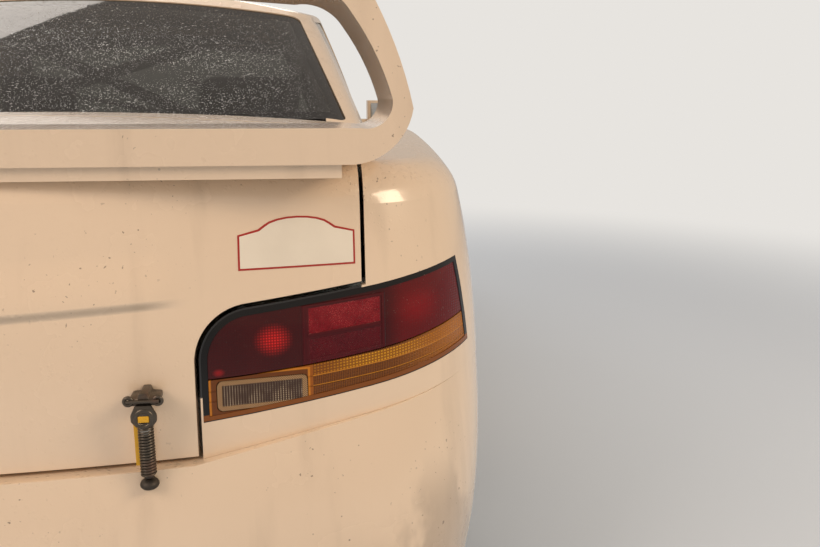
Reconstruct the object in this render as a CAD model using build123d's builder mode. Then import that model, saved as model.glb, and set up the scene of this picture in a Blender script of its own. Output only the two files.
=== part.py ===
"""Two-door rally car of the late 1990s, on tarmac wheels.

The frame has +X to the nose, +Y to the car's left and +Z up. The origin is on the
ground, under the middle of the car's length. Sizes are in millimetres. The left half of
each shape is modelled and the right half mirrored from it.
"""

from build123d import *
from math import atan2, cos, degrees, radians, sin, sqrt, tan
import os

# Driving dimensions
WHEELBASE = 2520
FRONT_OVERHANG = 880
REAR_OVERHANG = 940
BODY_WIDTH = 1770
ROOF_HEIGHT = 1390
TYRE_RADIUS = 318
TYRE_WIDTH = 225
RIM_RADIUS = 229
STEER_ANGLE = 28

# Panel thicknesses and gaps
SKIN = 15
DOOR_THICKNESS = 65
LID_THICKNESS = 20
PILLAR = 28
GLASS_STEP = 3
GLASS = 5
SHUT_GAP = 6
FIT = 0.3
CUT = 3000

# Heights of the body's main lines above the ground
UNDERSIDE = 150
NOSE_TOP = 706
COWL_HEIGHT = 950
DECK_HEIGHT = 1040
TAIL_HEIGHT = 972
SILL_TOP = 240
BELT_BASE = 760
FRONT_BUMPER_TOP = 560
REAR_BUMPER_TOP = 580
CABIN_FLOOR = 190
FLOOR_THICKNESS = 15

# Crowns of the panels, as radii about axes along the car
DECK_CROWN = 8000
ROOF_CROWN = 2600
SHOULDER_RADIUS = 75
ROOF_EDGE_RADIUS = 30

# Wheels and arches
ARCH_GAP = 44
FRONT_LINER_GAP = 90
REAR_LINER_GAP = 66
LINER = 8
WHEEL_INSET = 12
ARCH_INNER = 470

NOSE_X = (FRONT_OVERHANG + WHEELBASE + REAR_OVERHANG) / 2
TAIL_X = -NOSE_X
FRONT_AXLE_X = NOSE_X - FRONT_OVERHANG
REAR_AXLE_X = TAIL_X + REAR_OVERHANG
HALF_WIDTH = BODY_WIDTH / 2
ARCH_RADIUS = TYRE_RADIUS + ARCH_GAP
FRONT_LINER_RADIUS = TYRE_RADIUS + FRONT_LINER_GAP
REAR_LINER_RADIUS = TYRE_RADIUS + REAR_LINER_GAP
WHEEL_Y = HALF_WIDTH - WHEEL_INSET - TYRE_WIDTH / 2
AXLE_Z = TYRE_RADIUS

# Stations along the body
COWL_X = FRONT_AXLE_X - 390
BONNET_NOSE_X = NOSE_X - 120
DOOR_FRONT_X = FRONT_AXLE_X - 520
DOOR_REAR_X = REAR_AXLE_X + 800
QUARTER_X = DOOR_REAR_X - 170
LID_FRONT_X = REAR_AXLE_X - 262
ROOF_MID_X = (FRONT_AXLE_X + REAR_AXLE_X) / 2 - 360
FLARE_REACH = 620

# Plan outlines of the lower body. Columns: height, nose setback, tail setback, tuck of the
# side from half the body's width, bulge over the wheels, nose bow, tail bow, nose corner
# radius, tail corner radius.
BODY_LINES = (
    (150, 85, 85, 95, 20, 140, 100, 250, 200),
    (400, 34, 50, 47, 42, 150, 106, 280, 230),
    (620, 48, 45, 39, 38, 150, 112, 290, 250),
    (830, 150, 66, 47, 16, 140, 115, 290, 250),
    (1060, 320, 112, 100, 1, 120, 115, 270, 240),
)
FRONT_BUMPER_LINES = (
    (150, 42, 85, 95, 20, 160, 70, 260, 200),
    (330, 4, 50, 58, 40, 165, 75, 290, 230),
    (470, 0, 50, 44, 42, 165, 80, 300, 230),
    (600, 26, 45, 39, 38, 160, 85, 300, 250),
)
REAR_BUMPER_LINES = (
    (150, 85, 52, 95, 20, 140, 110, 250, 220),
    (300, 50, 8, 62, 38, 150, 115, 280, 250),
    (440, 45, 0, 45, 42, 150, 118, 280, 260),
    (580, 45, 26, 39, 39, 150, 118, 280, 260),
    (700, 60, 46, 41, 30, 150, 116, 280, 260),
)
CORNER_TAPER = 35

# Plan outlines of the cabin. Columns: height, windscreen station from the front axle,
# rear window station from the rear axle, half width, windscreen bow, rear bow, front
# corner radius, rear corner radius.
CABIN_LINES = (
    (760, 25, -694, 804, 150, 110, 110, 150),
    (1090, -623, -72, 700, 140, 110, 100, 140),
    (1420, -1312, 585, 566, 110, 90, 80, 110),
)
CABIN_FRONT_TAPER = 40
CABIN_REAR_TAPER = 55


def arc_point(setback_x, bow, half_width, towards_nose):
    """Point halfway along a bowed end, on the circle whose crown is on the centreline."""
    radius = (half_width**2 + bow**2) / (2 * bow)
    y = half_width / 2
    drop = radius - sqrt(radius**2 - y**2)
    return (setback_x - drop if towards_nose else setback_x + drop, y)


def between(a, b):
    """Middle of two points."""
    return ((a[0] + b[0]) / 2, (a[1] + b[1]) / 2)


def body_outline(line, inset):
    """Left half of the lower body's plan outline at one height, moved in by inset."""
    height, nose, tail, tuck, bulge, nose_bow, tail_bow, nose_round, tail_round = line
    nose_x = NOSE_X - nose - inset
    tail_x = TAIL_X + tail + inset
    side = HALF_WIDTH - tuck - inset
    corner = side - CORNER_TAPER
    nose_corner = (nose_x - nose_bow, corner)
    tail_corner = (tail_x + tail_bow, corner)
    front_crest = (FRONT_AXLE_X, side + bulge)
    front_waist = (FRONT_AXLE_X - FLARE_REACH, side)
    rear_waist = (REAR_AXLE_X + FLARE_REACH, side)
    rear_crest = (REAR_AXLE_X, side + bulge)
    with BuildSketch(Plane.XY.offset(height)) as outline:
        with BuildLine():
            Line((tail_x, 0), (nose_x, 0))
            ThreePointArc((nose_x, 0), arc_point(nose_x, nose_bow, corner, True), nose_corner)
            TangentArc(front_crest, nose_corner, tangent=(1, 0))
            TangentArc(front_crest, between(front_crest, front_waist), tangent=(-1, 0))
            TangentArc(front_waist, between(front_crest, front_waist), tangent=(1, 0))
            Line(front_waist, rear_waist)
            TangentArc(rear_waist, between(rear_crest, rear_waist), tangent=(-1, 0))
            TangentArc(rear_crest, between(rear_crest, rear_waist), tangent=(1, 0))
            TangentArc(rear_crest, tail_corner, tangent=(-1, 0))
            ThreePointArc(tail_corner, arc_point(tail_x, tail_bow, corner, False), (tail_x, 0))
        make_face()
        fillet(outline.vertices().sort_by_distance((*nose_corner, height))[0], nose_round)
        fillet(outline.vertices().sort_by_distance((*tail_corner, height))[0], tail_round)
    return outline.sketch


def cabin_outline(line, inset):
    """Left half of the cabin's plan outline at one height, moved in by inset."""
    height, screen, rear, half_width, front_bow, rear_bow, front_round, rear_round = line
    front_x = FRONT_AXLE_X + screen - inset * 2
    rear_x = REAR_AXLE_X + rear + inset * 2
    side = half_width - (885 - HALF_WIDTH) - inset
    front_corner = (front_x - front_bow, side - CABIN_FRONT_TAPER)
    rear_corner = (rear_x + rear_bow, side - CABIN_REAR_TAPER)
    with BuildSketch(Plane.XY.offset(height)) as outline:
        with BuildLine():
            Line((rear_x, 0), (front_x, 0))
            ThreePointArc(
                (front_x, 0),
                arc_point(front_x, front_bow, side - CABIN_FRONT_TAPER, True),
                front_corner,
            )
            ThreePointArc(front_corner, (between(front_corner, rear_corner)[0], side), rear_corner)
            ThreePointArc(
                rear_corner,
                arc_point(rear_x, rear_bow, side - CABIN_REAR_TAPER, False),
                (rear_x, 0),
            )
        make_face()
        fillet(outline.vertices().sort_by_distance((*front_corner, height))[0], front_round)
        fillet(outline.vertices().sort_by_distance((*rear_corner, height))[0], rear_round)
    return outline.sketch


def crowned_edges(solid):
    """Edges between a half body's crowned top and its upright sides, off the centreline."""
    tops = [face for face in solid.faces() if face.normal_at(face.center()).Z > 0.8]
    found = []
    for face in tops:
        for edge in face.edges():
            middle = edge @ 0.5
            if middle.Y > 1 and sum(top.distance_to(middle) < 0.001 for top in tops) == 1:
                found.append(edge)
    return found


def rounded(solid, edges, radius):
    """The solid with its edges rounded, at the nearest radius that the shape allows."""
    for share in (1, 0.94, 1.06, 0.85, 0.7):
        try:
            return solid.fillet(radius * share, edges)
        except ValueError:
            continue
    return solid.fillet(radius * 0.5, edges)


def lower_body(inset, lines=BODY_LINES, shoulder=SHOULDER_RADIUS):
    """Left half of the body below the windows, moved in by inset on every side."""
    axis_z = DECK_HEIGHT - DECK_CROWN
    nose_edge = (NOSE_X - 70 - inset, NOSE_TOP - inset)
    cowl_edge = (COWL_X, COWL_HEIGHT - inset)
    deck_edge = (REAR_AXLE_X - 150, DECK_HEIGHT - inset)
    with BuildPart() as plan:
        loft([body_outline(line, inset) for line in lines])
    with BuildPart() as top:
        with BuildSketch(Plane.XZ):
            with BuildLine():
                Polyline(
                    (TAIL_X - 130, TAIL_HEIGHT - 3 - inset),
                    (TAIL_X - 130, axis_z),
                    (NOSE_X + 130, axis_z),
                    (NOSE_X + 130, NOSE_TOP - 146 - inset),
                    nose_edge,
                )
                bonnet_x = (nose_edge[0] + cowl_edge[0]) / 2
                bonnet_z = (nose_edge[1] + cowl_edge[1]) / 2 + 44
                ThreePointArc(nose_edge, (bonnet_x, bonnet_z), cowl_edge)
                Line(cowl_edge, deck_edge)
                tail_edge = (TAIL_X - 130, TAIL_HEIGHT - 3 - inset)
                deck_x = (deck_edge[0] + tail_edge[0]) / 2
                deck_z = (deck_edge[1] + tail_edge[1]) / 2 + 4
                ThreePointArc(deck_edge, (deck_x, deck_z), tail_edge)
            make_face()
        revolve(axis=Axis((0, 0, axis_z), (1, 0, 0)), revolution_arc=360)
    body = plan.part & top.part
    if shoulder - inset > 1:
        body = rounded(body, crowned_edges(body), shoulder - inset)
    return body


def cabin(inset):
    """Left half of the cabin above the belt line, moved in by inset on every side."""
    axis_z = ROOF_HEIGHT - ROOF_CROWN
    reach = 1230
    rise = 243
    with BuildPart() as plan:
        loft([cabin_outline(line, inset) for line in CABIN_LINES])
    with BuildPart() as roof:
        with BuildSketch(Plane.XZ):
            with BuildLine():
                front = (ROOF_MID_X + reach, ROOF_HEIGHT - rise - inset)
                rear = (ROOF_MID_X - reach, ROOF_HEIGHT - rise - inset)
                ThreePointArc(front, (ROOF_MID_X, ROOF_HEIGHT - inset), rear)
                Polyline(rear, (rear[0], axis_z), (front[0], axis_z), front)
            make_face()
        revolve(axis=Axis((0, 0, axis_z), (1, 0, 0)), revolution_arc=360)
    body = plan.part & roof.part
    if ROOF_EDGE_RADIUS - inset > 1:
        crown = body.faces().filter_by(GeomType.REVOLUTION)[0]
        body = rounded(body, [crown.edges().sort_by(Axis.Y)[-1]], ROOF_EDGE_RADIUS - inset)
    return body


def box(x_range, y_range, z_range):
    """Plain block between three pairs of limits."""
    with BuildPart() as block:
        with BuildSketch(Plane.XY.offset(min(z_range))):
            with Locations(((x_range[0] + x_range[1]) / 2, (y_range[0] + y_range[1]) / 2)):
                Rectangle(abs(x_range[1] - x_range[0]), abs(y_range[1] - y_range[0]))
        extrude(amount=abs(z_range[1] - z_range[0]))
    return block.part


def prism(plane, points, amount, radius=0):
    """Straight-sided block with a polygon outline, its corners rounded if radius is set."""
    with BuildPart() as block:
        with BuildSketch(plane) as outline:
            with BuildLine():
                Polyline(*points, close=True)
            make_face()
            if radius:
                fillet(outline.vertices(), radius)
        extrude(amount=amount)
    return block.part


def side_prism(points, radius=0):
    """Block with an outline in side view, as (x, z) points, over the car's left half."""
    return prism(Plane.XZ, points, -HALF_WIDTH - 100, radius)


def rear_prism(points, x_range, radius=0):
    """Block with an outline in rear view, as (y, z) points, over a range of stations."""
    return prism(Plane.YZ.offset(x_range[0]), points, x_range[1] - x_range[0], radius)


def plan_prism(points, z_range, radius=0):
    """Block with an outline in plan, as (x, y) points, over a range of heights."""
    return prism(Plane.XY.offset(z_range[0]), points, z_range[1] - z_range[0], radius)


def wheel_cylinder(axle_x, radius, y_range, z=AXLE_Z):
    """Cylinder about a wheel's axle."""
    with BuildPart() as drum:
        with BuildSketch(Plane.XZ.offset(-y_range[0])):
            with Locations((axle_x, z)):
                Circle(radius)
        extrude(amount=y_range[0] - y_range[1])
    return drum.part


def both_sides(part):
    """The left part and its mirror image, as two solids."""
    return Compound(children=[*part.solids(), *part.mirror(Plane.XZ).solids()])


def whole(part):
    """One solid from the left half of a panel that crosses the centreline."""
    return part + part.mirror(Plane.XZ)


def largest(part):
    """The largest solid of a shape, which drops loose slivers of a cut."""
    return part.solids().sort_by(SortBy.VOLUME)[-1]


def write(name, part):
    """Label a piece and write it as its own node."""
    solids = part.solids()
    piece = solids[0] if len(solids) == 1 else Compound(children=list(solids))
    piece.label = name
    export_step(piece, f"parts/{name}.step")


os.makedirs("parts", exist_ok=True)

# Volumes that the panels are cut from
outer = lower_body(0)
skin_fit = lower_body(SKIN + FIT)
skin_inner = lower_body(SKIN)
trim_inner = lower_body(DOOR_THICKNESS)
trim_fit = lower_body(DOOR_THICKNESS + FIT)
door_room = lower_body(-SHUT_GAP)
outer_fit = lower_body(-FIT)
cabin_outer = cabin(0)
cabin_fit = cabin(-FIT)
cabin_inner = cabin(PILLAR)
glass_outer = cabin(GLASS_STEP)
glass_inner = cabin(GLASS_STEP + GLASS)

front_arch = wheel_cylinder(FRONT_AXLE_X, ARCH_RADIUS, (ARCH_INNER, HALF_WIDTH + 100))
rear_arch = wheel_cylinder(REAR_AXLE_X, ARCH_RADIUS, (ARCH_INNER, HALF_WIDTH + 100))

# Door outline, then the same outline with the shut gap added
DOOR_BOTTOM_FRONT = (DOOR_FRONT_X - 8, SILL_TOP)


def door_outline(gap):
    """Side view of the door panel, grown by gap."""
    return (
        (DOOR_FRONT_X + gap, SILL_TOP - gap),
        (DOOR_REAR_X + 60 - gap * 1.06, SILL_TOP - gap),
        (DOOR_REAR_X - gap, SILL_TOP + 210),
        (DOOR_REAR_X - gap, DECK_HEIGHT + 60),
        (DOOR_FRONT_X + gap, DECK_HEIGHT + 60),
    )


def door_glass_outline(gap):
    """Side view of the door's window, grown by gap, down to below the belt line."""
    return (
        (DOOR_FRONT_X - 70 + gap * 1.3, COWL_HEIGHT - 130),
        (DOOR_FRONT_X - 70 + gap * 1.3, COWL_HEIGHT - 62),
        (DOOR_FRONT_X - 714 + gap, ROOF_HEIGHT - 101 + gap),
        (DOOR_FRONT_X - 960, ROOF_HEIGHT - 84 + gap),
        (DOOR_REAR_X + 12 - gap, ROOF_HEIGHT - 90 + gap),
        (DOOR_REAR_X + 12 - gap, COWL_HEIGHT - 130),
    )


def quarter_glass_outline(gap):
    """Side view of the fixed window behind the door, grown by gap."""
    return (
        (DOOR_REAR_X - 72 + gap, DECK_HEIGHT - 84 - gap),
        (DOOR_REAR_X - 72 + gap, ROOF_HEIGHT - 92 + gap),
        (DOOR_REAR_X - 330 - gap, ROOF_HEIGHT - 112 + gap),
        (DOOR_REAR_X - 600 - gap * 1.5, DECK_HEIGHT - 30),
        (DOOR_REAR_X - 580 - gap, DECK_HEIGHT - 70 - gap),
    )


WINDOW_ROUND = 26


def line_slope(lines, station):
    """Lean from level, in degrees, of the cabin's centreline between its upper outlines."""
    low, high = lines[-2], lines[-1]
    return degrees(atan2(high[0] - low[0], abs(high[station] - low[station])))


SCREEN_SLOPE = line_slope(CABIN_LINES, 1)
REAR_WINDOW_SLOPE = line_slope(CABIN_LINES, 2)
SCREEN_BASE_X = (
    FRONT_AXLE_X + CABIN_LINES[1][1] + (CABIN_LINES[1][0] - COWL_HEIGHT) / tan(radians(SCREEN_SLOPE))
)
REAR_WINDOW_BASE_X = (
    REAR_AXLE_X + CABIN_LINES[1][2] - (CABIN_LINES[1][0] - DECK_HEIGHT) / tan(radians(REAR_WINDOW_SLOPE))
)


def glass_block(base, slope, towards_nose, outline, depth):
    """Left half of a block square to a sloping window, from (y, distance up the glass)."""
    way = 1 if towards_nose else -1
    plane = Plane(
        origin=base,
        x_dir=(0, 1, 0),
        z_dir=(way * sin(radians(slope)), 0, cos(radians(slope))),
    )
    points = [(y, way * up) for y, up in outline]
    return prism(plane.offset(-depth), points, depth + 40, WINDOW_ROUND)


def screen_block(gap):
    """Block round the windscreen's left half, grown by gap."""
    outline = (
        (-300, -58 - gap),
        (300, -58 - gap),
        (684 + gap, -92 - gap),
        (538 + gap, 864 + gap),
        (-300, 864 + gap),
    )
    base = (SCREEN_BASE_X, 0, COWL_HEIGHT)
    return glass_block(base, SCREEN_SLOPE, True, outline, 115)


def rear_window_block(gap):
    """Block round the rear window's left half, grown by gap."""
    outline = (
        (-300, -50 - gap),
        (250, -50 - gap),
        (649 + gap, 62 - gap),
        (544 + gap, 628 + gap),
        (-300, 628 + gap),
    )
    base = (REAR_WINDOW_BASE_X, 0, DECK_HEIGHT)
    return glass_block(base, REAR_WINDOW_SLOPE, False, outline, 115)


screen_room = screen_block(0)
rear_window_room = rear_window_block(0)
door_glass_room = side_prism(door_glass_outline(SHUT_GAP + 2), WINDOW_ROUND)
quarter_glass_room = side_prism(quarter_glass_outline(0), WINDOW_ROUND)

# Tail lamp and boot lid outlines in rear view, as (y, z) points of the left half
LAMP_INNER_Y = 408
LID_SIDE_Y = 632
LAMP_BASE = REAR_BUMPER_TOP + 53
LAMP_TOP_INNER = LAMP_BASE + 150
LAMP_TOP_OUTER = LAMP_BASE + 220
LAMP_END_X = TAIL_X + 240
LAMP_FAR_Y = HALF_WIDTH + 60


def lamp_volume(gap):
    """Block round the tail lamp in rear view, grown by gap."""
    base_inner = (LAMP_INNER_Y - gap, LAMP_BASE - gap)
    base_outer = (LAMP_FAR_Y, LAMP_BASE + 85 - gap)
    arc_foot = (LAMP_INNER_Y - gap, LAMP_TOP_INNER - 67)
    arc_head = (LAMP_INNER_Y + 56, LAMP_TOP_INNER + gap)
    top_outer = (LAMP_FAR_Y, LAMP_TOP_OUTER + gap)
    with BuildPart() as block:
        with BuildSketch(Plane.YZ.offset(TAIL_X - 50)):
            with BuildLine():
                ThreePointArc(base_inner, (LAMP_INNER_Y + 232, LAMP_BASE + 27 - gap), base_outer)
                Line(base_outer, top_outer)
                ThreePointArc(top_outer, (LAMP_INNER_Y + 219, LAMP_TOP_INNER + 19 + gap), arc_head)
                TangentArc(arc_foot, arc_head, tangent=(0, 1))
                Line(arc_foot, base_inner)
            make_face()
        extrude(amount=LAMP_END_X + gap - TAIL_X + 50)
    return block.part


def lens_split(rise):
    """Block above the line between the lamp's red and amber lenses, moved up by rise."""
    low = LAMP_BASE + 58 + rise
    with BuildPart() as block:
        with BuildSketch(Plane.YZ.offset(TAIL_X - 50)):
            with BuildLine():
                ThreePointArc((300, low), (LAMP_INNER_Y + 192, low + 14), (LAMP_FAR_Y, low + 84))
                Polyline((LAMP_FAR_Y, low + 84), (LAMP_FAR_Y, ROOF_HEIGHT), (300, ROOF_HEIGHT), (300, low))
            make_face()
        extrude(amount=REAR_AXLE_X - TAIL_X)
    return block.part


def bumper_line(drop):
    """Block below the rear bumper's top line, moved down by drop."""
    top = REAR_BUMPER_TOP - drop
    return rear_prism(
        (
            (-10, UNDERSIDE - 50),
            (LAMP_FAR_Y, UNDERSIDE - 50),
            (LAMP_FAR_Y, top + 92),
            (LAMP_INNER_Y - 13, top),
            (-10, top),
        ),
        (TAIL_X - 60, REAR_AXLE_X),
    )


def lid_volume(gap):
    """Block round the boot lid, grown by gap, with its corner cut away for the lamp."""
    wide = box(
        (TAIL_X - 50, LID_FRONT_X + gap),
        (0, LID_SIDE_Y - SHUT_GAP / 2 + gap),
        (LAMP_TOP_INNER - 60, CUT / 2),
    )
    narrow = box(
        (TAIL_X - 50, LID_FRONT_X - 300),
        (0, LAMP_INNER_Y - SHUT_GAP - 3 + gap),
        (REAR_BUMPER_TOP + SHUT_GAP - gap, LAMP_TOP_INNER),
    )
    return wide + narrow - lamp_volume(SHUT_GAP + 3 - gap)


BONNET_REAR_X = COWL_X + 118
BONNET_REAR_BOW = 35
BONNET_FRONT_BOW = 88
BONNET_SIDE_REAR = 700
BONNET_SIDE_FRONT = 630


def bonnet_volume(gap):
    """Block round the bonnet's left half in plan, grown by gap and more at the nose."""
    rear_x = BONNET_REAR_X - gap
    front_x = BONNET_NOSE_X + gap * 1.7
    rear_corner = (rear_x - BONNET_REAR_BOW, BONNET_SIDE_REAR + gap)
    front_corner = (front_x - BONNET_FRONT_BOW, BONNET_SIDE_FRONT + gap)
    with BuildPart() as block:
        with BuildSketch(Plane.XY.offset(NOSE_TOP - 120)):
            with BuildLine():
                ThreePointArc(
                    (rear_x, 0), arc_point(rear_x, BONNET_REAR_BOW, rear_corner[1], True), rear_corner
                )
                Line(rear_corner, front_corner)
                ThreePointArc(
                    front_corner,
                    arc_point(front_x, BONNET_FRONT_BOW, front_corner[1], True),
                    (front_x, 0),
                )
                Line((front_x, 0), (rear_x, 0))
            make_face()
        extrude(amount=600)
    return block.part


# Hinge lines
DOOR_HINGE_Y = HALF_WIDTH - 37
DOOR_SWING = DOOR_FRONT_X - DOOR_REAR_X

# Door and its window
with BuildPart() as door_reach:
    with BuildSketch(Plane.XY.offset(UNDERSIDE - 50)):
        with Locations((DOOR_FRONT_X, DOOR_HINGE_Y)):
            Circle(DOOR_SWING)
    extrude(amount=ROOF_HEIGHT)
wall = outer - trim_inner - cabin_inner
door_panel = wall & side_prism(door_outline(0), 20)
glass_slot = (cabin(GLASS_STEP - FIT) - cabin(GLASS_STEP + GLASS + FIT)) & side_prism(
    door_glass_outline(FIT)
)
door_left = largest((door_panel & door_reach.part) - glass_slot)
door_glass_left = largest(
    (glass_outer - glass_inner) & side_prism(door_glass_outline(0), WINDOW_ROUND - SHUT_GAP)
)
write("door_left", door_left)
write("door_right", door_left.mirror(Plane.XZ))
write("door_glass_left", door_glass_left)
write("door_glass_right", door_glass_left.mirror(Plane.XZ))

# Body side: sill, hinge post, quarter panel, pillars and roof rail
ROOF_PANEL_Y = 470
SEAL_FLANGE = 28
SCUTTLE_Y = 640
POST_FRONT_X = DOOR_FRONT_X + 80
BULKHEAD = 12
bulkhead_x = POST_FRONT_X - BULKHEAD
far_y = HALF_WIDTH + 50
high = ROOF_HEIGHT + 100
side_rear = box((TAIL_X, QUARTER_X), (0, far_y), (UNDERSIDE, high))
side_mid = box((QUARTER_X, DOOR_FRONT_X + SHUT_GAP), (0, far_y), (UNDERSIDE, high))
side_front = box((DOOR_FRONT_X + SHUT_GAP, NOSE_X), (0, far_y), (COWL_HEIGHT - 200, high))
hinge_post = box(
    (DOOR_FRONT_X + SHUT_GAP, POST_FRONT_X), (0, far_y), (UNDERSIDE, COWL_HEIGHT - 40)
)
rear_bumper_room = bumper_line(0)
roof_middle = box((TAIL_X, NOSE_X), (0, ROOF_PANEL_Y), (COWL_HEIGHT + 100, ROOF_HEIGHT + 100))
door_space = side_prism(door_outline(SHUT_GAP), 26) & door_room
shape = outer + cabin_outer
side = ((shape & side_mid) - [trim_inner, cabin_inner, door_space]) + (
    (shape & side_rear) - [skin_inner, cabin_inner]
)
side = side + ((cabin_outer & side_front) - cabin_inner)
side = side + ((skin_fit & hinge_post) - [trim_inner, cabin_inner, door_space])
side = side - [
    front_arch,
    rear_arch,
    screen_room,
    rear_window_room,
    door_glass_room,
    quarter_glass_room,
    rear_bumper_room,
    roof_middle,
    lamp_volume(FIT),
    lid_volume(SHUT_GAP),
    box((LID_FRONT_X, REAR_AXLE_X), (0, 600), (DECK_HEIGHT - 200, DECK_HEIGHT + 8)),
    box((POST_FRONT_X, NOSE_X), (0, HALF_WIDTH), (UNDERSIDE, COWL_HEIGHT - 40)),
    box((bulkhead_x - FIT, NOSE_X), (0, far_y), (UNDERSIDE, COWL_HEIGHT - 60 + FIT)) & trim_inner,
    box((DOOR_FRONT_X - 200, NOSE_X), (0, SCUTTLE_Y), (UNDERSIDE, COWL_HEIGHT + 8)),
]
flange_x = (QUARTER_X + 200, DOOR_FRONT_X - 100)
sill_flange = outer & box(
    flange_x, (HALF_WIDTH - 150, far_y), (SILL_TOP - 20, SILL_TOP + SEAL_FLANGE)
)
sill_flange = sill_flange - (
    box(flange_x, (0, far_y), (SILL_TOP - SHUT_GAP, high)) - trim_fit
)
side = largest(side + sill_flange)
write("body_sides", both_sides(side))

# Roof panel, windscreen, rear window and quarter windows
roof = (cabin_outer - cabin_inner) & box(
    (TAIL_X, NOSE_X), (0, ROOF_PANEL_Y - FIT), (COWL_HEIGHT + 100, ROOF_HEIGHT + 100)
)
write("roof_panel", largest(whole(roof - screen_room - rear_window_room)))
pane = glass_outer - glass_inner
screen = pane & screen_block(-FIT)
write("windscreen", largest(whole(screen)))
back_pane = pane & rear_window_block(-FIT)
write("rear_window", largest(whole(back_pane)))
quarter_pane = largest(pane & side_prism(quarter_glass_outline(-FIT), WINDOW_ROUND))
write("quarter_windows", both_sides(quarter_pane))

# Boot lid and the strip of deck ahead of it
lid_inner = lower_body(LID_THICKNESS)
lid_shell = outer - [lid_inner, cabin_fit]
boot_lid = largest(whole(lid_shell & lid_volume(0)))
write("boot_lid", boot_lid)
skin = outer - [skin_inner, cabin_fit]
deck_strip = skin & box(
    (LID_FRONT_X + SHUT_GAP, REAR_AXLE_X), (0, 600 - FIT), (DECK_HEIGHT - 100, DECK_HEIGHT + 8)
)
write("rear_deck", largest(whole(deck_strip)))

# Bonnet, scuttle, front wings and nose panel
bonnet = largest(whole(lid_shell & bonnet_volume(0)))
write("bonnet", bonnet)
above_bumper = (FRONT_BUMPER_TOP, ROOF_HEIGHT)
bonnet_room = bonnet_volume(SHUT_GAP)
scuttle = skin & box((DOOR_FRONT_X, BONNET_REAR_X), (0, SCUTTLE_Y - FIT), above_bumper)
write("scuttle_panel", largest(whole(scuttle - bonnet_room)))


def headlamp_volume(gap):
    """Block round the headlamp in front view, grown by gap."""
    return rear_prism(
        (
            (392 - gap, FRONT_BUMPER_TOP + 16 - gap),
            (HALF_WIDTH + 60, FRONT_BUMPER_TOP + 16 - gap),
            (HALF_WIDTH + 60, FRONT_BUMPER_TOP + 78 + gap),
            (640, FRONT_BUMPER_TOP + 94 + gap),
            (392 - gap, FRONT_BUMPER_TOP + 102 + gap),
        ),
        (FRONT_AXLE_X + 590 - gap, NOSE_X + 50),
    )


GRILLE_Y = 380
GRILLE_BASE = FRONT_BUMPER_TOP + 18
GRILLE_TOP = FRONT_BUMPER_TOP + 98
grille_room = rear_prism(
    (
        (-100, GRILLE_BASE),
        (GRILLE_Y, GRILLE_BASE),
        (GRILLE_Y, GRILLE_TOP),
        (-100, GRILLE_TOP),
    ),
    (FRONT_AXLE_X + 500, NOSE_X + 50),
    8,
)
NOSE_PANEL_Y = 600
wing_skin = skin & (
    box((DOOR_FRONT_X + SHUT_GAP, NOSE_X), (NOSE_PANEL_Y + FIT, far_y), above_bumper)
    + box(
        (DOOR_FRONT_X + SHUT_GAP, FRONT_AXLE_X),
        (NOSE_PANEL_Y + FIT, far_y),
        (UNDERSIDE, FRONT_BUMPER_TOP + 1),
    )
)
wing_skin = wing_skin - [
    front_arch,
    headlamp_volume(FIT),
    bonnet_room,
    box((DOOR_FRONT_X, BONNET_REAR_X), (0, SCUTTLE_Y), above_bumper),
]
write("front_wings", both_sides(largest(wing_skin)))
nose_skin = skin & box((FRONT_AXLE_X + 500, NOSE_X), (0, NOSE_PANEL_Y), above_bumper)
nose_skin = nose_skin - [bonnet_room, headlamp_volume(FIT), grille_room]
write("nose_panel", largest(whole(nose_skin)))

# Bumpers
front_liner_fit = wheel_cylinder(
    FRONT_AXLE_X, FRONT_LINER_RADIUS + LINER + FIT, (ARCH_INNER - LINER - FIT, far_y)
)
rear_liner_fit = wheel_cylinder(
    REAR_AXLE_X, REAR_LINER_RADIUS + LINER + FIT, (ARCH_INNER - LINER - FIT, far_y)
)
front_bumper_outer = lower_body(0, FRONT_BUMPER_LINES, 0)
front_bumper_inner = lower_body(SKIN, FRONT_BUMPER_LINES, 0)
rear_bumper_outer = lower_body(0, REAR_BUMPER_LINES, 0)
rear_bumper_inner = lower_body(SKIN, REAR_BUMPER_LINES, 0)
REAR_BUMPER_BASE = 205
LEDGE = 12
PANEL_INSET = 45
panel_outer = lower_body(PANEL_INSET, shoulder=0)
ledge_cut = lower_body(PANEL_INSET - FIT, shoulder=0)


def bumper(shell_outer, shell_inner, room, ledge_room, arch, liner):
    """Bumper skin with a ledge round its top that reaches in to the body."""
    wall = (shell_outer - shell_inner) & room
    ledge = (shell_outer - ledge_cut) & ledge_room
    return wall + (ledge - liner) - arch


rear_bumper_space = bumper_line(FIT) & box(
    (TAIL_X - 10, REAR_AXLE_X - 40), (0, far_y), (REAR_BUMPER_BASE, high)
)
rear_bumper = bumper(
    rear_bumper_outer,
    rear_bumper_inner,
    rear_bumper_space,
    rear_bumper_space - bumper_line(FIT + LEDGE),
    rear_arch,
    rear_liner_fit,
)
write("rear_bumper", largest(whole(rear_bumper)))
front_bumper_x = (FRONT_AXLE_X + 40, NOSE_X + 10)
front_bumper = bumper(
    front_bumper_outer,
    front_bumper_inner,
    box(front_bumper_x, (0, far_y), (UNDERSIDE, FRONT_BUMPER_TOP - FIT)),
    box(front_bumper_x, (0, far_y), (FRONT_BUMPER_TOP - LEDGE, FRONT_BUMPER_TOP - FIT)),
    front_arch,
    front_liner_fit,
)
intakes = rear_prism(
    ((-100, 230), (330, 230), (350, 400), (-100, 400)), (FRONT_AXLE_X + 500, NOSE_X + 50), 20
) + rear_prism(
    ((430, 250), (640, 262), (650, 370), (430, 390)), (FRONT_AXLE_X + 500, NOSE_X + 50), 20
)
write("front_bumper", largest(whole(front_bumper - intakes)))


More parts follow.
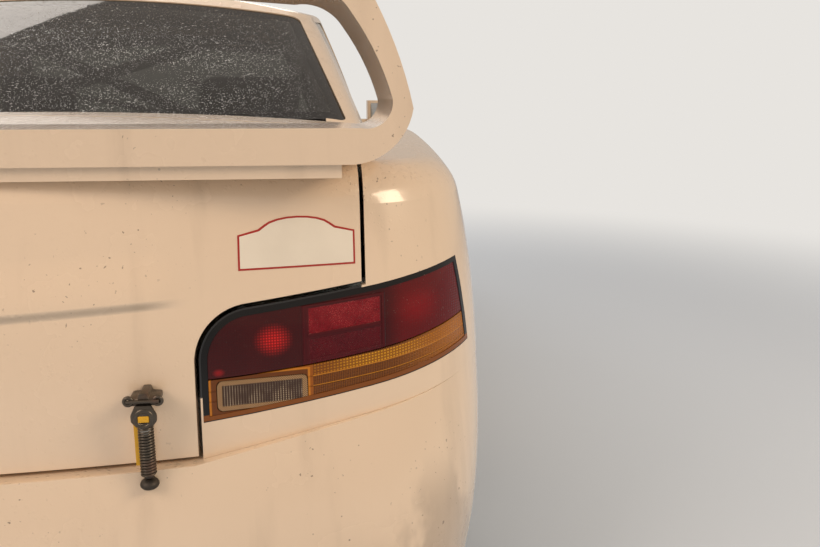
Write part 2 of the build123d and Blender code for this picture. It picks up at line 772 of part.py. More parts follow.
# Structure under the skin
def arch_liner(axle_x, radius, wall_base):
    """Left wheel's inner arch: a curved roof and the wall inboard of the wheel."""
    roof_part = wheel_cylinder(axle_x, radius + LINER, (ARCH_INNER - LINER, far_y))
    roof_part = roof_part - wheel_cylinder(axle_x, radius, (ARCH_INNER, far_y))
    roof_part = roof_part & skin_fit
    reach = radius + LINER + 10
    roof_part = roof_part - box(
        (axle_x - reach, axle_x + reach), (0, far_y), (0, FRONT_BUMPER_TOP - 300)
    )
    return roof_part - box(
        (axle_x - radius + 20, axle_x + radius - 20), (0, ARCH_INNER), (0, wall_base)
    )


behind_bumpers = (outer - lid_inner) & (
    box((FRONT_AXLE_X, NOSE_X), (0, far_y), (0, FRONT_BUMPER_TOP + FIT))
    + box((TAIL_X, REAR_AXLE_X), (0, far_y), (0, REAR_BUMPER_TOP + 110))
)
front_liner = largest(arch_liner(FRONT_AXLE_X, FRONT_LINER_RADIUS, 470) - behind_bumpers)
rear_liner = largest(arch_liner(REAR_AXLE_X, REAR_LINER_RADIUS, 470) - behind_bumpers)
write("wheel_arch_liners", Compound(children=[
    *both_sides(front_liner).solids(),
    *both_sides(rear_liner).solids(),
]))
FLOOR_REAR_X = QUARTER_X + 20
BOOT_FLOOR = 330
floor_pan = trim_fit & (
    box((FLOOR_REAR_X, POST_FRONT_X), (0, far_y), (CABIN_FLOOR - FLOOR_THICKNESS, CABIN_FLOOR))
    + box(
        (FLOOR_REAR_X - BULKHEAD, FLOOR_REAR_X),
        (0, far_y),
        (CABIN_FLOOR - FLOOR_THICKNESS, BOOT_FLOOR),
    )
)
write("floor_pan", largest(whole(floor_pan - rear_liner_fit)))
bulkhead = trim_fit & box(
    (bulkhead_x, POST_FRONT_X), (0, far_y), (CABIN_FLOOR + FIT, COWL_HEIGHT - 60)
)
write("front_bulkhead", largest(whole(bulkhead - front_liner_fit)))
boot_floor = trim_fit & box(
    (TAIL_X, FLOOR_REAR_X), (0, far_y), (BOOT_FLOOR + FIT, BOOT_FLOOR + FLOOR_THICKNESS)
)
write("boot_floor", largest(whole(boot_floor - rear_liner_fit)))
TRAY_HEIGHT = 905
seat_back_x = REAR_AXLE_X + 30
rear_bulkhead = trim_fit & (
    box(
        (seat_back_x, seat_back_x + BULKHEAD),
        (0, far_y),
        (BOOT_FLOOR + FLOOR_THICKNESS + FIT * 2, TRAY_HEIGHT),
    )
    + box(
        (LID_FRONT_X + 20, seat_back_x + BULKHEAD),
        (0, far_y),
        (TRAY_HEIGHT - BULKHEAD, TRAY_HEIGHT),
    )
)
write("rear_bulkhead", largest(whole(rear_bulkhead - rear_liner_fit)))
rear_panel = (panel_outer - trim_inner) & box(
    (TAIL_X, REAR_AXLE_X - REAR_LINER_RADIUS - 30), (0, far_y), (BOOT_FLOOR - 100, LAMP_BASE + 20)
)
lid_buffer = (Pos(FIT, 0, 0) * lid_inner - trim_inner) & box(
    (TAIL_X, REAR_AXLE_X), (190, 216), (LAMP_BASE - 30, LAMP_BASE - 4)
)
rear_panel = rear_panel + lid_buffer
write("rear_panel", largest(whole(rear_panel)))

# Tail lamps: dark housing and three lenses
lens_outer = lower_body(1)
lens_inner = lower_body(9)
lens_seat = lower_body(9 + FIT)
BEZEL = 8
lens_room = lamp_volume(-BEZEL + FIT) - lens_seat
housing = largest(((outer - ledge_cut) & lamp_volume(0)) - lens_room)
write("tail_lamp_housings", both_sides(housing))
lens = (lens_outer - lens_inner) & lamp_volume(-BEZEL)
amber_lens = lens - lens_split(-1)


def reverse_lens(gap):
    """Block round the clear reversing lens in the lamp's lower inner corner."""
    inner_y = LAMP_INNER_Y + 19 - gap
    outer_y = LAMP_INNER_Y + 141 + gap
    base = LAMP_BASE + 13 - gap
    return rear_prism(
        ((inner_y, base), (outer_y, base + 3), (outer_y, base + 41 + gap * 2), (inner_y, base + 42 + gap * 2)),
        (TAIL_X - 50, REAR_AXLE_X),
        8,
    )


write("tail_lenses_red", both_sides(largest(lens & lens_split(1))))
write("tail_lenses_amber", both_sides(largest(amber_lens - reverse_lens(1))))
write("tail_lenses_clear", both_sides(largest(lens & reverse_lens(0))))

# Headlamps and grille
head_housing = ((outer - ledge_cut) & headlamp_volume(0)) - (headlamp_volume(-8 + FIT) - lens_seat)
write("headlamp_housings", both_sides(largest(head_housing)))
head_lens = (lens_outer - lens_inner) & headlamp_volume(-8)
write("headlamp_lenses", both_sides(largest(head_lens)))
grille = (skin_fit - lower_body(SKIN + 12, shoulder=0)) & box(
    (BONNET_NOSE_X - 60, NOSE_X), (0, GRILLE_Y + 8), (GRILLE_BASE - 8, GRILLE_TOP + 8)
)
write("grille", largest(whole(grille)))

# Front frame: chassis legs, crossmember, radiator support and lower arms
LEG_Y = 400
LEG_BASE = 360
LEG_TOP = 440
FRONT_LEG_X = NOSE_X - 110
ARM_TOP = 192
bonnet_post = box(
    (FRONT_AXLE_X + 540, FRONT_AXLE_X + 570), (LEG_Y, LEG_Y + 30), (190, COWL_HEIGHT)
)
legs = (
    box((POST_FRONT_X + FIT, FRONT_LEG_X), (LEG_Y, LEG_Y + 55), (LEG_BASE, LEG_TOP))
    + box((FRONT_LEG_X - 40, FRONT_LEG_X), (0, 560), (LEG_BASE, LEG_TOP))
    + box((FRONT_AXLE_X + 540, FRONT_AXLE_X + 570), (0, LEG_Y + 30), (190, 240))
    + (bonnet_post & (Pos(0, 0, -FIT) * lid_inner))
    + box((FRONT_LEG_X - 60, FRONT_LEG_X - 30), (LEG_Y - 30, LEG_Y + 20), (LEG_BASE, 577))
)
subframe = (
    box((FRONT_AXLE_X - 200, FRONT_AXLE_X - 90), (0, 330), (190, 240))
    + box((FRONT_AXLE_X - 200, FRONT_AXLE_X + 200), (290, 330), (190, 240))
    + box((FRONT_AXLE_X - 180, FRONT_AXLE_X - 120), (290, LEG_Y + 40), (190, 240))
    + box((FRONT_AXLE_X - 180, FRONT_AXLE_X - 120), (LEG_Y, LEG_Y + 40), (190, LEG_BASE))
    + plan_prism(
        (
            (FRONT_AXLE_X - 150, 300),
            (FRONT_AXLE_X + 150, 300),
            (FRONT_AXLE_X + 20, 704),
            (FRONT_AXLE_X - 20, 704),
        ),
        (ARM_TOP - 20, ARM_TOP),
    )
)
write("front_frame", largest(whole(legs + subframe)))
ENGINE_X = (FRONT_AXLE_X - 120, FRONT_AXLE_X + 420)
write("engine", box(ENGINE_X, (-LEG_Y + FIT, LEG_Y - FIT), (260, 760)))
write("radiator", box((FRONT_AXLE_X + 530, FRONT_AXLE_X + 575), (-360, 360), (240 + FIT, 640)))
write(
    "sump_guard",
    box((FRONT_AXLE_X - 190, FRONT_AXLE_X + 568), (-280, 280), (180, 190 - FIT)),
)

# Wheels. Stations along an axle are from the wheel's middle, outwards.
RIM_HALF = 104
DISC_RADIUS = 165


def about_axle(points, axle_x):
    """Ring turned from (station, radius) points about the left wheel's axle."""
    with BuildPart() as ring:
        with BuildSketch(Plane.XY):
            with BuildLine():
                Polyline(*[(axle_x + radius, WHEEL_Y + station) for station, radius in points],
                         close=True)
            make_face()
        revolve(axis=Axis((axle_x, 0, 0), (0, 1, 0)), revolution_arc=360)
    return Pos(0, 0, AXLE_Z) * ring.part


SPOKES = 12


def rim(axle_x):
    """Left wheel's rim: barrel, hub and spokes."""
    barrel = about_axle(
        (
            (-RIM_HALF, RIM_RADIUS - 9),
            (RIM_HALF, RIM_RADIUS - 9),
            (RIM_HALF, RIM_RADIUS + 12),
            (RIM_HALF - 7, RIM_RADIUS + 12),
            (RIM_HALF - 7, RIM_RADIUS),
            (-RIM_HALF + 7, RIM_RADIUS),
            (-RIM_HALF + 7, RIM_RADIUS + 12),
            (-RIM_HALF, RIM_RADIUS + 12),
        ),
        axle_x,
    )
    hub = about_axle(((20, 0), (84, 0), (84, 50), (70, 74), (20, 74)), axle_x)
    with BuildPart() as spokes:
        with BuildSketch(Plane.XZ.offset(-WHEEL_Y - 60)):
            with Locations((axle_x, AXLE_Z)):
                with PolarLocations((60 + RIM_RADIUS - 5) / 2, SPOKES):
                    Rectangle(RIM_RADIUS - 65, 19)
        extrude(amount=-26)
    return barrel + hub + spokes.part


def tyre(axle_x):
    """Left wheel's tyre, with rounded shoulders."""
    half = TYRE_WIDTH / 2
    bead = RIM_HALF - 7 - FIT
    return about_axle(
        (
            (-bead, RIM_RADIUS + FIT),
            (bead, RIM_RADIUS + FIT),
            (bead, RIM_RADIUS + 13),
            (half - 4, RIM_RADIUS + 20),
            (half, RIM_RADIUS + 46),
            (half - 8, TYRE_RADIUS - 18),
            (half - 26, TYRE_RADIUS - 3),
            (60, TYRE_RADIUS),
            (-60, TYRE_RADIUS),
            (-half + 26, TYRE_RADIUS - 3),
            (-half + 8, TYRE_RADIUS - 18),
            (-half, RIM_RADIUS + 46),
            (-half + 4, RIM_RADIUS + 20),
            (-bead, RIM_RADIUS + 13),
        ),
        axle_x,
    )


def brake_disc(axle_x):
    """Left wheel's brake disc with its hat, seated on the hub."""
    return about_axle(
        (
            (-38, 62),
            (-38, DISC_RADIUS),
            (-10, DISC_RADIUS),
            (-10, 74),
            (20 - FIT, 74),
            (20 - FIT, 23),
            (12, 23),
            (12, 62),
        ),
        axle_x,
    )


KINGPIN_FOOT = (FRONT_AXLE_X, 700, 195)
KINGPIN_LEAN = 14


def hub_carrier(axle_x, top_z, lean):
    """Left upright with its strut, spindle and brake caliper."""
    back = WHEEL_Y - 100
    with BuildPart() as upright:
        with BuildSketch(Plane.XZ.offset(-back)):
            with BuildLine():
                Polyline(
                    (axle_x - 45, 208),
                    (axle_x + 45, 208),
                    (axle_x + 50, 330),
                    (axle_x + 32, 440),
                    (axle_x - 32, 440),
                    (axle_x - 50, 330),
                    close=True,
                )
            make_face()
        extrude(amount=-50)
        with BuildSketch(Plane.XZ.offset(-back - 40)):
            with Locations((axle_x, AXLE_Z)):
                Circle(22)
        extrude(amount=-78)
        with BuildSketch(Plane.XZ.offset(-back - 20)):
            with Locations((axle_x - 82, AXLE_Z)):
                Rectangle(110, 56)
        extrude(amount=-32)
    foot_y = KINGPIN_FOOT[1] - (380 - KINGPIN_FOOT[2]) * sin(radians(lean)) / cos(radians(lean))
    length = (top_z - 380) / cos(radians(lean))
    strut_plane = Plane(
        origin=(axle_x, foot_y, 380), z_dir=(0, -sin(radians(lean)), cos(radians(lean)))
    )
    with BuildPart() as strut:
        with BuildSketch(strut_plane):
            Circle(27)
        extrude(amount=length)
        with BuildSketch(strut_plane.offset(length - 70)):
            Circle(52)
        extrude(amount=60)
    caliper = box(
        (axle_x - 195, axle_x - 100),
        (WHEEL_Y - 70, WHEEL_Y + 12),
        (AXLE_Z - 60, AXLE_Z + 60),
    ) - about_axle(((-42, 0), (-42, DISC_RADIUS + 5), (-6, DISC_RADIUS + 5), (-6, 0)), axle_x)
    body = upright.part + strut.part + caliper
    return largest(body)


liner_top = {
    "front": AXLE_Z + FRONT_LINER_RADIUS,
    "rear": AXLE_Z + REAR_LINER_RADIUS,
}
knuckle = hub_carrier(FRONT_AXLE_X, liner_top["front"] - 22, KINGPIN_LEAN)
ball_z = ARM_TOP + 12
with BuildPart() as ball:
    with Locations((FRONT_AXLE_X, KINGPIN_FOOT[1] - 2.2, ball_z)):
        Sphere(11.5)
knuckle = knuckle + ball.part
write("knuckle_left", knuckle)
write("knuckle_right", knuckle.mirror(Plane.XZ))
rear_beam = (
    box((REAR_AXLE_X - 60, REAR_AXLE_X + 60), (0, 430), (230, 290))
    + box((REAR_AXLE_X - 40, REAR_AXLE_X + 40), (360, 430), (280, BOOT_FLOOR))
    + box((REAR_AXLE_X - 25, REAR_AXLE_X + 25), (420, 690), (205, 235))
    + hub_carrier(REAR_AXLE_X, liner_top["rear"] - 22, KINGPIN_LEAN)
)
write("rear_suspension", largest(whole(rear_beam)))
for end, axle_x in (("front", FRONT_AXLE_X), ("rear", REAR_AXLE_X)):
    wheel = Compound(children=[rim(axle_x), brake_disc(axle_x)])
    write(f"rim_{end}_left", wheel)
    write(f"rim_{end}_right", wheel.mirror(Plane.XZ))
    write(f"tyre_{end}_left", tyre(axle_x))
    write(f"tyre_{end}_right", tyre(axle_x).mirror(Plane.XZ))


# Cabin
WELD = 2


def tube(start, end, radius):
    """Round tube between two points."""
    run = Vector(*end) - Vector(*start)
    with BuildPart() as bar:
        with BuildSketch(Plane(origin=start, z_dir=run)):
            Circle(radius)
        extrude(amount=run.length)
    return bar.part


def tube_frame(runs, radius):
    """Tubes along runs of points, with a ball a little larger than the tube at each joint."""
    bars = []
    joints = []
    for run in runs:
        for start, end in zip(run[:-1], run[1:]):
            bars.append(tube(start, end, radius))
        joints.extend(point for point in run if point not in joints)
    with BuildPart() as balls:
        with Locations(*joints):
            Sphere(radius + WELD)
    return balls.part.fuse(*bars)


CAGE_TUBE = 20
HOOP_X = DOOR_REAR_X - 10
CAGE_FOOT = CABIN_FLOOR + FIT + CAGE_TUBE + WELD
stay_z = TRAY_HEIGHT + FIT + CAGE_TUBE + WELD
hoop_foot = (HOOP_X, 668, CAGE_FOOT)
hoop_knee = (HOOP_X, 668, 900)
hoop_shoulder = (HOOP_X, 545, 1240)
hoop_top = (HOOP_X, 440, 1292)
stay_foot = (REAR_AXLE_X + 15, 500, stay_z)
front_knee = (DOOR_FRONT_X - 90, 640, 905)
front_foot = (DOOR_FRONT_X - 60, 668, CAGE_FOOT)
header_end = (DOOR_FRONT_X - 640, 490, 1246)
cage = tube_frame(
    (
        (hoop_foot, hoop_knee, hoop_shoulder, hoop_top, (HOOP_X, -10, 1312)),
        (hoop_shoulder, stay_foot),
        (hoop_top, header_end, front_knee, front_foot),
        (header_end, (header_end[0], -10, 1284)),
    ),
    CAGE_TUBE,
)
cage_half = cage & box((TAIL_X, NOSE_X), (0, far_y), (0, ROOF_HEIGHT))
brace_top = Vector(HOOP_X, 440, 1292)
brace_foot = Vector(stay_foot[0] + 12, 490, stay_z + 8)
braces = tube_frame(
    (
        (tuple(brace_top), (brace_foot.X, -brace_foot.Y, brace_foot.Z)),
        ((brace_top.X, -brace_top.Y, brace_top.Z), tuple(brace_foot)),
    ),
    CAGE_TUBE - 4,
)
write("roll_cage", largest(whole(cage_half).fuse(braces)))

SEAT_Y = 365
seat_side = side_prism(
    (
        (250, 290),
        (250, 400),
        (-60, 440),
        (-150, 560),
        (-220, 860),
        (-210, 1000),
        (-250, 1140),
        (-330, 1140),
        (-330, 900),
        (-240, 330),
        (-150, 290),
    ),
    18,
) & box((-400, 300), (SEAT_Y - 240, SEAT_Y + 240), (200, 1200))
seat_room = side_prism(
    (
        (400, 345),
        (-120, 320),
        (-180, 380),
        (-290, 1010),
        (-290, 1200),
        (400, 1200),
    ),
    18,
) & box((-400, 300), (SEAT_Y - 215, SEAT_Y + 215), (200, 1200))
seat_view = rear_prism(
    (
        (SEAT_Y - 240, 200),
        (SEAT_Y + 240, 200),
        (SEAT_Y + 240, 860),
        (SEAT_Y + 165, 1010),
        (SEAT_Y + 160, 1135),
        (SEAT_Y - 160, 1135),
        (SEAT_Y - 165, 1010),
        (SEAT_Y - 240, 860),
    ),
    (-400, 300),
    60,
)
seat_base = box((-140, 200), (SEAT_Y - 190, SEAT_Y + 190), (CABIN_FLOOR + FIT, 292))
write("seats", both_sides(largest(((seat_side - seat_room) & seat_view) + seat_base)))

DASH_FRONT_X = DOOR_FRONT_X - 260
dash = side_prism(
    (
        (bulkhead_x - FIT, 600),
        (bulkhead_x - FIT, 850),
        (DASH_FRONT_X + 60, 860),
        (DASH_FRONT_X, 820),
        (DASH_FRONT_X, 700),
        (DASH_FRONT_X + 80, 600),
    ),
    16,
) & box((0, NOSE_X), (0, 600), (500, 900))
COLUMN_LEAN = 20
WHEEL_CENTRE = (DASH_FRONT_X - 170, SEAT_Y, 800)
column_plane = Plane(
    origin=WHEEL_CENTRE,
    x_dir=(0, 1, 0),
    z_dir=(cos(radians(COLUMN_LEAN)), 0, -sin(radians(COLUMN_LEAN))),
)
with BuildPart() as column:
    with BuildSketch(column_plane.offset(62)):
        Circle(28)
    extrude(amount=160)
write("dashboard", largest(whole(dash) + column.part))
with BuildPart() as steering_wheel:
    with BuildSketch(column_plane.offset(-14)):
        Circle(42)
    extrude(amount=30)
    with BuildSketch(column_plane):
        Circle(17)
    extrude(amount=61)
    with BuildSketch(column_plane.offset(-5)):
        with PolarLocations(95, 3, start_angle=-90):
            Rectangle(150, 28)
    extrude(amount=8)
    with BuildSketch(Plane(origin=WHEEL_CENTRE, x_dir=column_plane.z_dir, z_dir=(0, 1, 0))):
        with Locations((0, 172)):
            Circle(14)
    revolve(axis=Axis(WHEEL_CENTRE, tuple(column_plane.z_dir)), revolution_arc=360)
write("steering_wheel", steering_wheel.part)

# Hoop-shaped rear wing on the boot lid
WING_X = (TAIL_X + 77, TAIL_X + 305)
WING_BASE = DECK_HEIGHT - 60
WING_SEAT_Y = LID_SIDE_Y - 26


def arcs(*points):
    """Arcs through each start, middle and end of a run of points."""
    for start, middle, end in zip(points[::2], points[1::2], points[2::2]):
        ThreePointArc(start, middle, end)


with BuildPart() as hoop:
    with BuildSketch(Plane.YZ.offset(WING_X[0])):
        with BuildLine():
            arcs(
                (WING_SEAT_Y, WING_BASE),
                (668, WING_BASE + 21),
                (696, WING_BASE + 72),
                (680, WING_BASE + 130),
                (645, WING_BASE + 210),
                (612, WING_BASE + 260),
                (550, WING_BASE + 278),
                (280, WING_BASE + 287),
                (0, WING_BASE + 290),
            )
            Polyline((0, WING_BASE + 290), (0, WING_BASE), (WING_SEAT_Y, WING_BASE))
        make_face()
        with BuildLine():
            arcs(
                (628, WING_BASE + 47),
                (660, WING_BASE + 57),
                (669, WING_BASE + 84),
                (648, WING_BASE + 139),
                (616, WING_BASE + 192),
                (590, WING_BASE + 216),
                (545, WING_BASE + 223),
                (280, WING_BASE + 236),
                (-1, WING_BASE + 241),
            )
            Polyline((-1, WING_BASE + 241), (-1, WING_BASE + 47), (628, WING_BASE + 47))
        make_face(mode=Mode.SUBTRACT)
    extrude(amount=WING_X[1] - WING_X[0])
wing_seat = box((WING_X[0] + 8, WING_X[1]), (0, WING_SEAT_Y - 4), (WING_BASE - 18, WING_BASE + 2))
wing = (hoop.part + wing_seat) - outer_fit
wing = wing - (door_room & box(WING_X, (LID_SIDE_Y - 8, far_y), (800, 1400)))
write("rear_wing", largest(whole(wing)))

# Spring latches between the boot lid and the bumper
LATCH_Y = 337
latch_x = TAIL_X + 36
latch = box((latch_x - 7, TAIL_X + 110), (LATCH_Y - 18, LATCH_Y + 18), (672, 688))
with BuildPart() as latch_rod:
    with BuildSketch(Plane.XY.offset(REAR_BUMPER_TOP + 9)):
        with Locations((latch_x, LATCH_Y)):
            Circle(6)
    extrude(amount=90)
write("boot_latches", both_sides(largest((latch - outer_fit) + latch_rod.part)))
foot = box(
    (TAIL_X + 26, TAIL_X + 80),
    (LATCH_Y - 11, LATCH_Y + 11),
    (REAR_BUMPER_TOP - 27, REAR_BUMPER_TOP + 3),
)
write("latch_feet", both_sides(largest(foot - Pos(-FIT, 0, 0) * rear_bumper_outer)))

# Door mirrors
mirror_block = plan_prism(
    (
        (DOOR_FRONT_X - 165, 838),
        (DOOR_FRONT_X - 150, 985),
        (DOOR_FRONT_X - 90, 965),
        (DOOR_FRONT_X - 62, 838),
    ),
    (950, 1060),
    16,
)
mirror_arm = box(
    (DOOR_FRONT_X - 140, DOOR_FRONT_X - 80), (740, 880), (880, 975)
)
mirror = largest((mirror_block + mirror_arm) - outer_fit - cabin_fit)
write("mirror_left", mirror)
write("mirror_right", mirror.mirror(Plane.XZ))

# Exhaust: pipe with rounded bends, silencer and tail pipe
PIPE = 28
OUTLET_RADIUS = 28
OUTLET_PIPE = 32
OUTLET_Y = -490
OUTLET_Z = 166


def bent_pipe(points, radius, bend):
    """Pipe of one radius along a run of points, with rounded bends."""
    with BuildPart() as pipe:
        with BuildLine() as path:
            FilletPolyline(*points, radius=bend)
        with BuildSketch(Plane(origin=path.line @ 0, z_dir=path.line % 0)):
            Circle(radius)
        sweep()
    return pipe.part


front_pipe = bent_pipe(
    (
        (ENGINE_X[0] - FIT - PIPE, -150, 420),
        (FRONT_AXLE_X - 260, -150, 395),
        (FRONT_AXLE_X - 370, -150, 140),
        (QUARTER_X, -150, 140),
        (REAR_AXLE_X - 120, -350, 145),
        (REAR_AXLE_X - 300, -380, 225),
    ),
    PIPE,
    60,
)
tail_pipe = bent_pipe(
    (
        (TAIL_X + 260, -420, 235),
        (TAIL_X + 180, OUTLET_Y, OUTLET_Z),
        (TAIL_X + 30, OUTLET_Y, OUTLET_Z),
    ),
    OUTLET_PIPE,
    40,
)
silencer = box((TAIL_X + 220, REAR_AXLE_X - 270), (-455, -200), (195, BOOT_FLOOR - FIT))
with BuildPart() as outlet:
    with BuildSketch(Plane.YZ.offset(TAIL_X + 30)):
        with Locations((OUTLET_Y, OUTLET_Z)):
            Circle(OUTLET_RADIUS)
    extrude(amount=100)
write("exhaust", largest(silencer.fuse(front_pipe, tail_pipe) - outlet.part))
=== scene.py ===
"""Looks of a wet white two-door rally car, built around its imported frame."""

import logging
import math
from collections.abc import Iterator
from contextlib import contextmanager
from dataclasses import dataclass
from enum import Enum

import bmesh
import bpy
from mathutils import Matrix, Vector


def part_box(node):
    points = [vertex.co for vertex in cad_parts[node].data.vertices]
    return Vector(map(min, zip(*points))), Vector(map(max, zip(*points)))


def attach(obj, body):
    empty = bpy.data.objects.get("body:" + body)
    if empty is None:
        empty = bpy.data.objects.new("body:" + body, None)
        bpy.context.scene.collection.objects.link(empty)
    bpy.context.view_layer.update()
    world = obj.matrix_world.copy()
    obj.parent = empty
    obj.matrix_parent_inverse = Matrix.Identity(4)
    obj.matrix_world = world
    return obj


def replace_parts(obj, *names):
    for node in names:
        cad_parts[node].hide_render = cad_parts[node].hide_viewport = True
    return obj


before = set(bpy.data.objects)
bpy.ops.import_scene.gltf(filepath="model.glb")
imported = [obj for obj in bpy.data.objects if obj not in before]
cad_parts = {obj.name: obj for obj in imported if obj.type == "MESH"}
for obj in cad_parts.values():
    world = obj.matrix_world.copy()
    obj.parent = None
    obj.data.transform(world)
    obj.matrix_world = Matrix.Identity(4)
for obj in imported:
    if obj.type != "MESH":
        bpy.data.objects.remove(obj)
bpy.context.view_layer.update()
log = logging.getLogger("rally_car")

Colour = tuple[float, float, float]
Point = tuple[float, float, float]
Pair = tuple[float, float]
Piece = bpy.types.Object

WHEEL_X = {"front": 1.290, "rear": -1.230}
WHEEL_Y = 0.7605
TYRE_RADIUS = 0.318
TYRE_WIDTH = 0.225
RIM_RADIUS = 0.229
BEHIND_X = -2.190
BESIDE_Y = 0.92
ABOVE_Z = 1.45
LAY_REACH = 0.9
BACKDROP = (0.80, 0.775, 0.74)


class Side(Enum):
    """Left and right of the car, as the sign of y."""

    LEFT = 1
    RIGHT = -1

    @property
    def word(self) -> str:
        """Lower-case name of the side."""
        return self.name.lower()


def srgb(red: int, green: int, blue: int) -> Colour:
    """Linear colour of an sRGB triple of 0 to 255."""
    shares = [value / 255 for value in (red, green, blue)]
    return tuple(part / 12.92 if part < 0.0405 else ((part + 0.055) / 1.055) ** 2.4 for part in shares)


def shade(colour: Colour, share: float) -> Colour:
    """Darker colour, as a share of a colour."""
    return tuple(part * share for part in colour)


# Materials

class Graph:
    """Node graph of one material, with short methods for the nodes that the finishes use."""

    def __init__(self, name: str) -> None:
        """Make an empty Principled material.

        Args:
            name: Name of the material.
        """
        self.material = bpy.data.materials.new(name)
        self.material.use_nodes = True
        self.tree = self.material.node_tree
        self.shader = self.tree.nodes["Principled BSDF"]
        self.place = self.node("TexCoord").outputs["Object"]
        self.x, self.y, self.z = self.node("SeparateXYZ", {0: self.place}).outputs
        self.across = self.math("ABSOLUTE", self.y)
        self.normal = None

    def put(self, socket: object, value: object) -> None:
        """Link value to the socket if it is an output, or else set it.

        Args:
            socket: The input socket.
            value: A number, a colour or an output socket.
        """
        if isinstance(value, bpy.types.NodeSocket):
            self.tree.links.new(value, socket)
        else:
            socket.default_value = (*value, 1) if socket.type == "RGBA" else value

    def node(self, kind: str, inputs: dict | None = None, **settings: object) -> bpy.types.Node:
        """Add a node.

        Args:
            kind: Its type, without the words that every type starts with.
            inputs: Values by input name or number.
            settings: Its own settings.

        Returns:
            The node.
        """
        node = self.tree.nodes.new(f"ShaderNode{kind}")
        for key, value in settings.items():
            setattr(node, key, value)
        for key, value in (inputs or {}).items():
            self.put(node.inputs[key], value)
        return node

    def sockets(self, **values: object) -> None:
        """Set or link the shader's sockets, with spaces written as underscores."""
        for key, value in values.items():
            self.put(self.shader.inputs[key.replace("_", " ")], value)

    def math(self, operation: str, *values: object) -> object:
        """Result of one Math node."""
        return self.node("Math", dict(enumerate(values)), operation=operation).outputs[0]

    def times(self, first: object, *others: object) -> object:
        """Product of values."""
        for other in others:
            first = self.math("MULTIPLY", first, other)
        return first

    def minus(self, first: object, second: object) -> object:
        """First less second."""
        return self.math("SUBTRACT", first, second)

    def line(self, value: object, slope: float, base: object) -> object:
        """Value times slope, and base added."""
        return self.math("MULTIPLY_ADD", value, slope, base)

    def most(self, first: object, *others: object) -> object:
        """Largest of values."""
        for other in others:
            first = self.math("MAXIMUM", first, other)
        return first

    def reach(self, first: object, second: object) -> object:
        """Length of the line with two runs."""
        squares = self.math("ADD", self.times(first, first), self.times(second, second))
        return self.math("SQRT", squares)

    def spread(self, value: object, low: float, high: float, start: float = 0.0, end: float = 1.0) -> object:
        """Smooth step of value from low to high, as start to end."""
        inputs = dict(enumerate((value, low, high, start, end)))
        return self.node("MapRange", inputs, interpolation_type="SMOOTHSTEP").outputs[0]

    def stretched(self, scale: Point) -> object:
        """Object coordinates stretched by scale."""
        return self.node("Mapping", {"Vector": self.place, "Scale": scale}).outputs[0]

    def noise(self, scale: float, detail: float = 2.0, where: object = None) -> object:
        """Fractal noise of about 0 to 1."""
        inputs = {"Vector": where or self.place, "Scale": scale, "Detail": detail}
        return self.node("TexNoise", inputs).outputs["Fac"]

    def patches(self, scale: float, detail: float, low: float, high: float) -> object:
        """Smooth step of noise."""
        return self.spread(self.noise(scale, detail), low, high)

    def cells(self, scale: float) -> tuple[object, object]:
        """Distance and random colour of the cells of a Voronoi pattern."""
        node = self.node("TexVoronoi", {"Vector": self.place, "Scale": scale})
        return node.outputs["Distance"], node.outputs["Color"]

    def waves(self, along: object, pitch: float) -> object:
        """Rounded ribs of the given pitch in metres along a coordinate, from 0 to 1."""
        return self.line(self.math("SINE", self.times(along, 2 * math.pi / pitch)), 0.5, 0.5)

    def mix(self, share: object, first: object, second: object) -> object:
        """Colour between first and second."""
        return self.node("Mix", {0: share, 6: first, 7: second}, data_type="RGBA").outputs[2]

    def raised(self, height: object, depth: float, strength: float = 1.0) -> None:
        """Add a relief to the surface.

        Args:
            height: Its height, of about 0 to 1.
            depth: Its depth in metres.
            strength: Share of it that shows.
        """
        node = self.node("Bump", {"Strength": strength, "Distance": depth, "Height": height})
        if self.normal is not None:
            self.put(node.inputs["Normal"], self.normal)
        self.normal = node.outputs[0]
        self.sockets(Normal=self.normal)

    def upward(self) -> object:
        """Share by which the surface faces up."""
        normal = self.node("NewGeometry").outputs["Normal"]
        return self.spread(self.node("SeparateXYZ", {0: normal}).outputs[2], 0.25, 0.85)

    def within(self, value: object, low: float, high: float, edge: float = 0.0008) -> object:
        """One between low and high, falling to nothing over edge."""
        rise = self.spread(value, low - edge, low + edge)
        return self.times(rise, self.spread(value, high - edge, high + edge, 1.0, 0.0))

    def rectangle(self, across: object, up: object, box: tuple[float, float, float, float]) -> object:
        """One inside a rectangle given as low and high across, low and high up."""
        return self.times(self.within(across, box[0], box[1]), self.within(up, box[2], box[3]))

    def drops(self, scale: float, share: float) -> object:
        """Heights of round water drops.

        Args:
            scale: Cells to the metre.
            share: Share of the cells that hold a drop.

        Returns:
            The height, from 0 to 1.
        """
        distance, colour = self.cells(scale)
        pick = self.node("SeparateColor", {0: colour}).outputs
        chosen = self.spread(pick[0], share, share - 0.02)
        size = self.line(pick[1], 0.22, 0.16)
        dome = self.most(self.minus(1.0, self.math("DIVIDE", distance, size)), 0.0)
        return self.times(self.math("POWER", dome, 0.5), chosen)


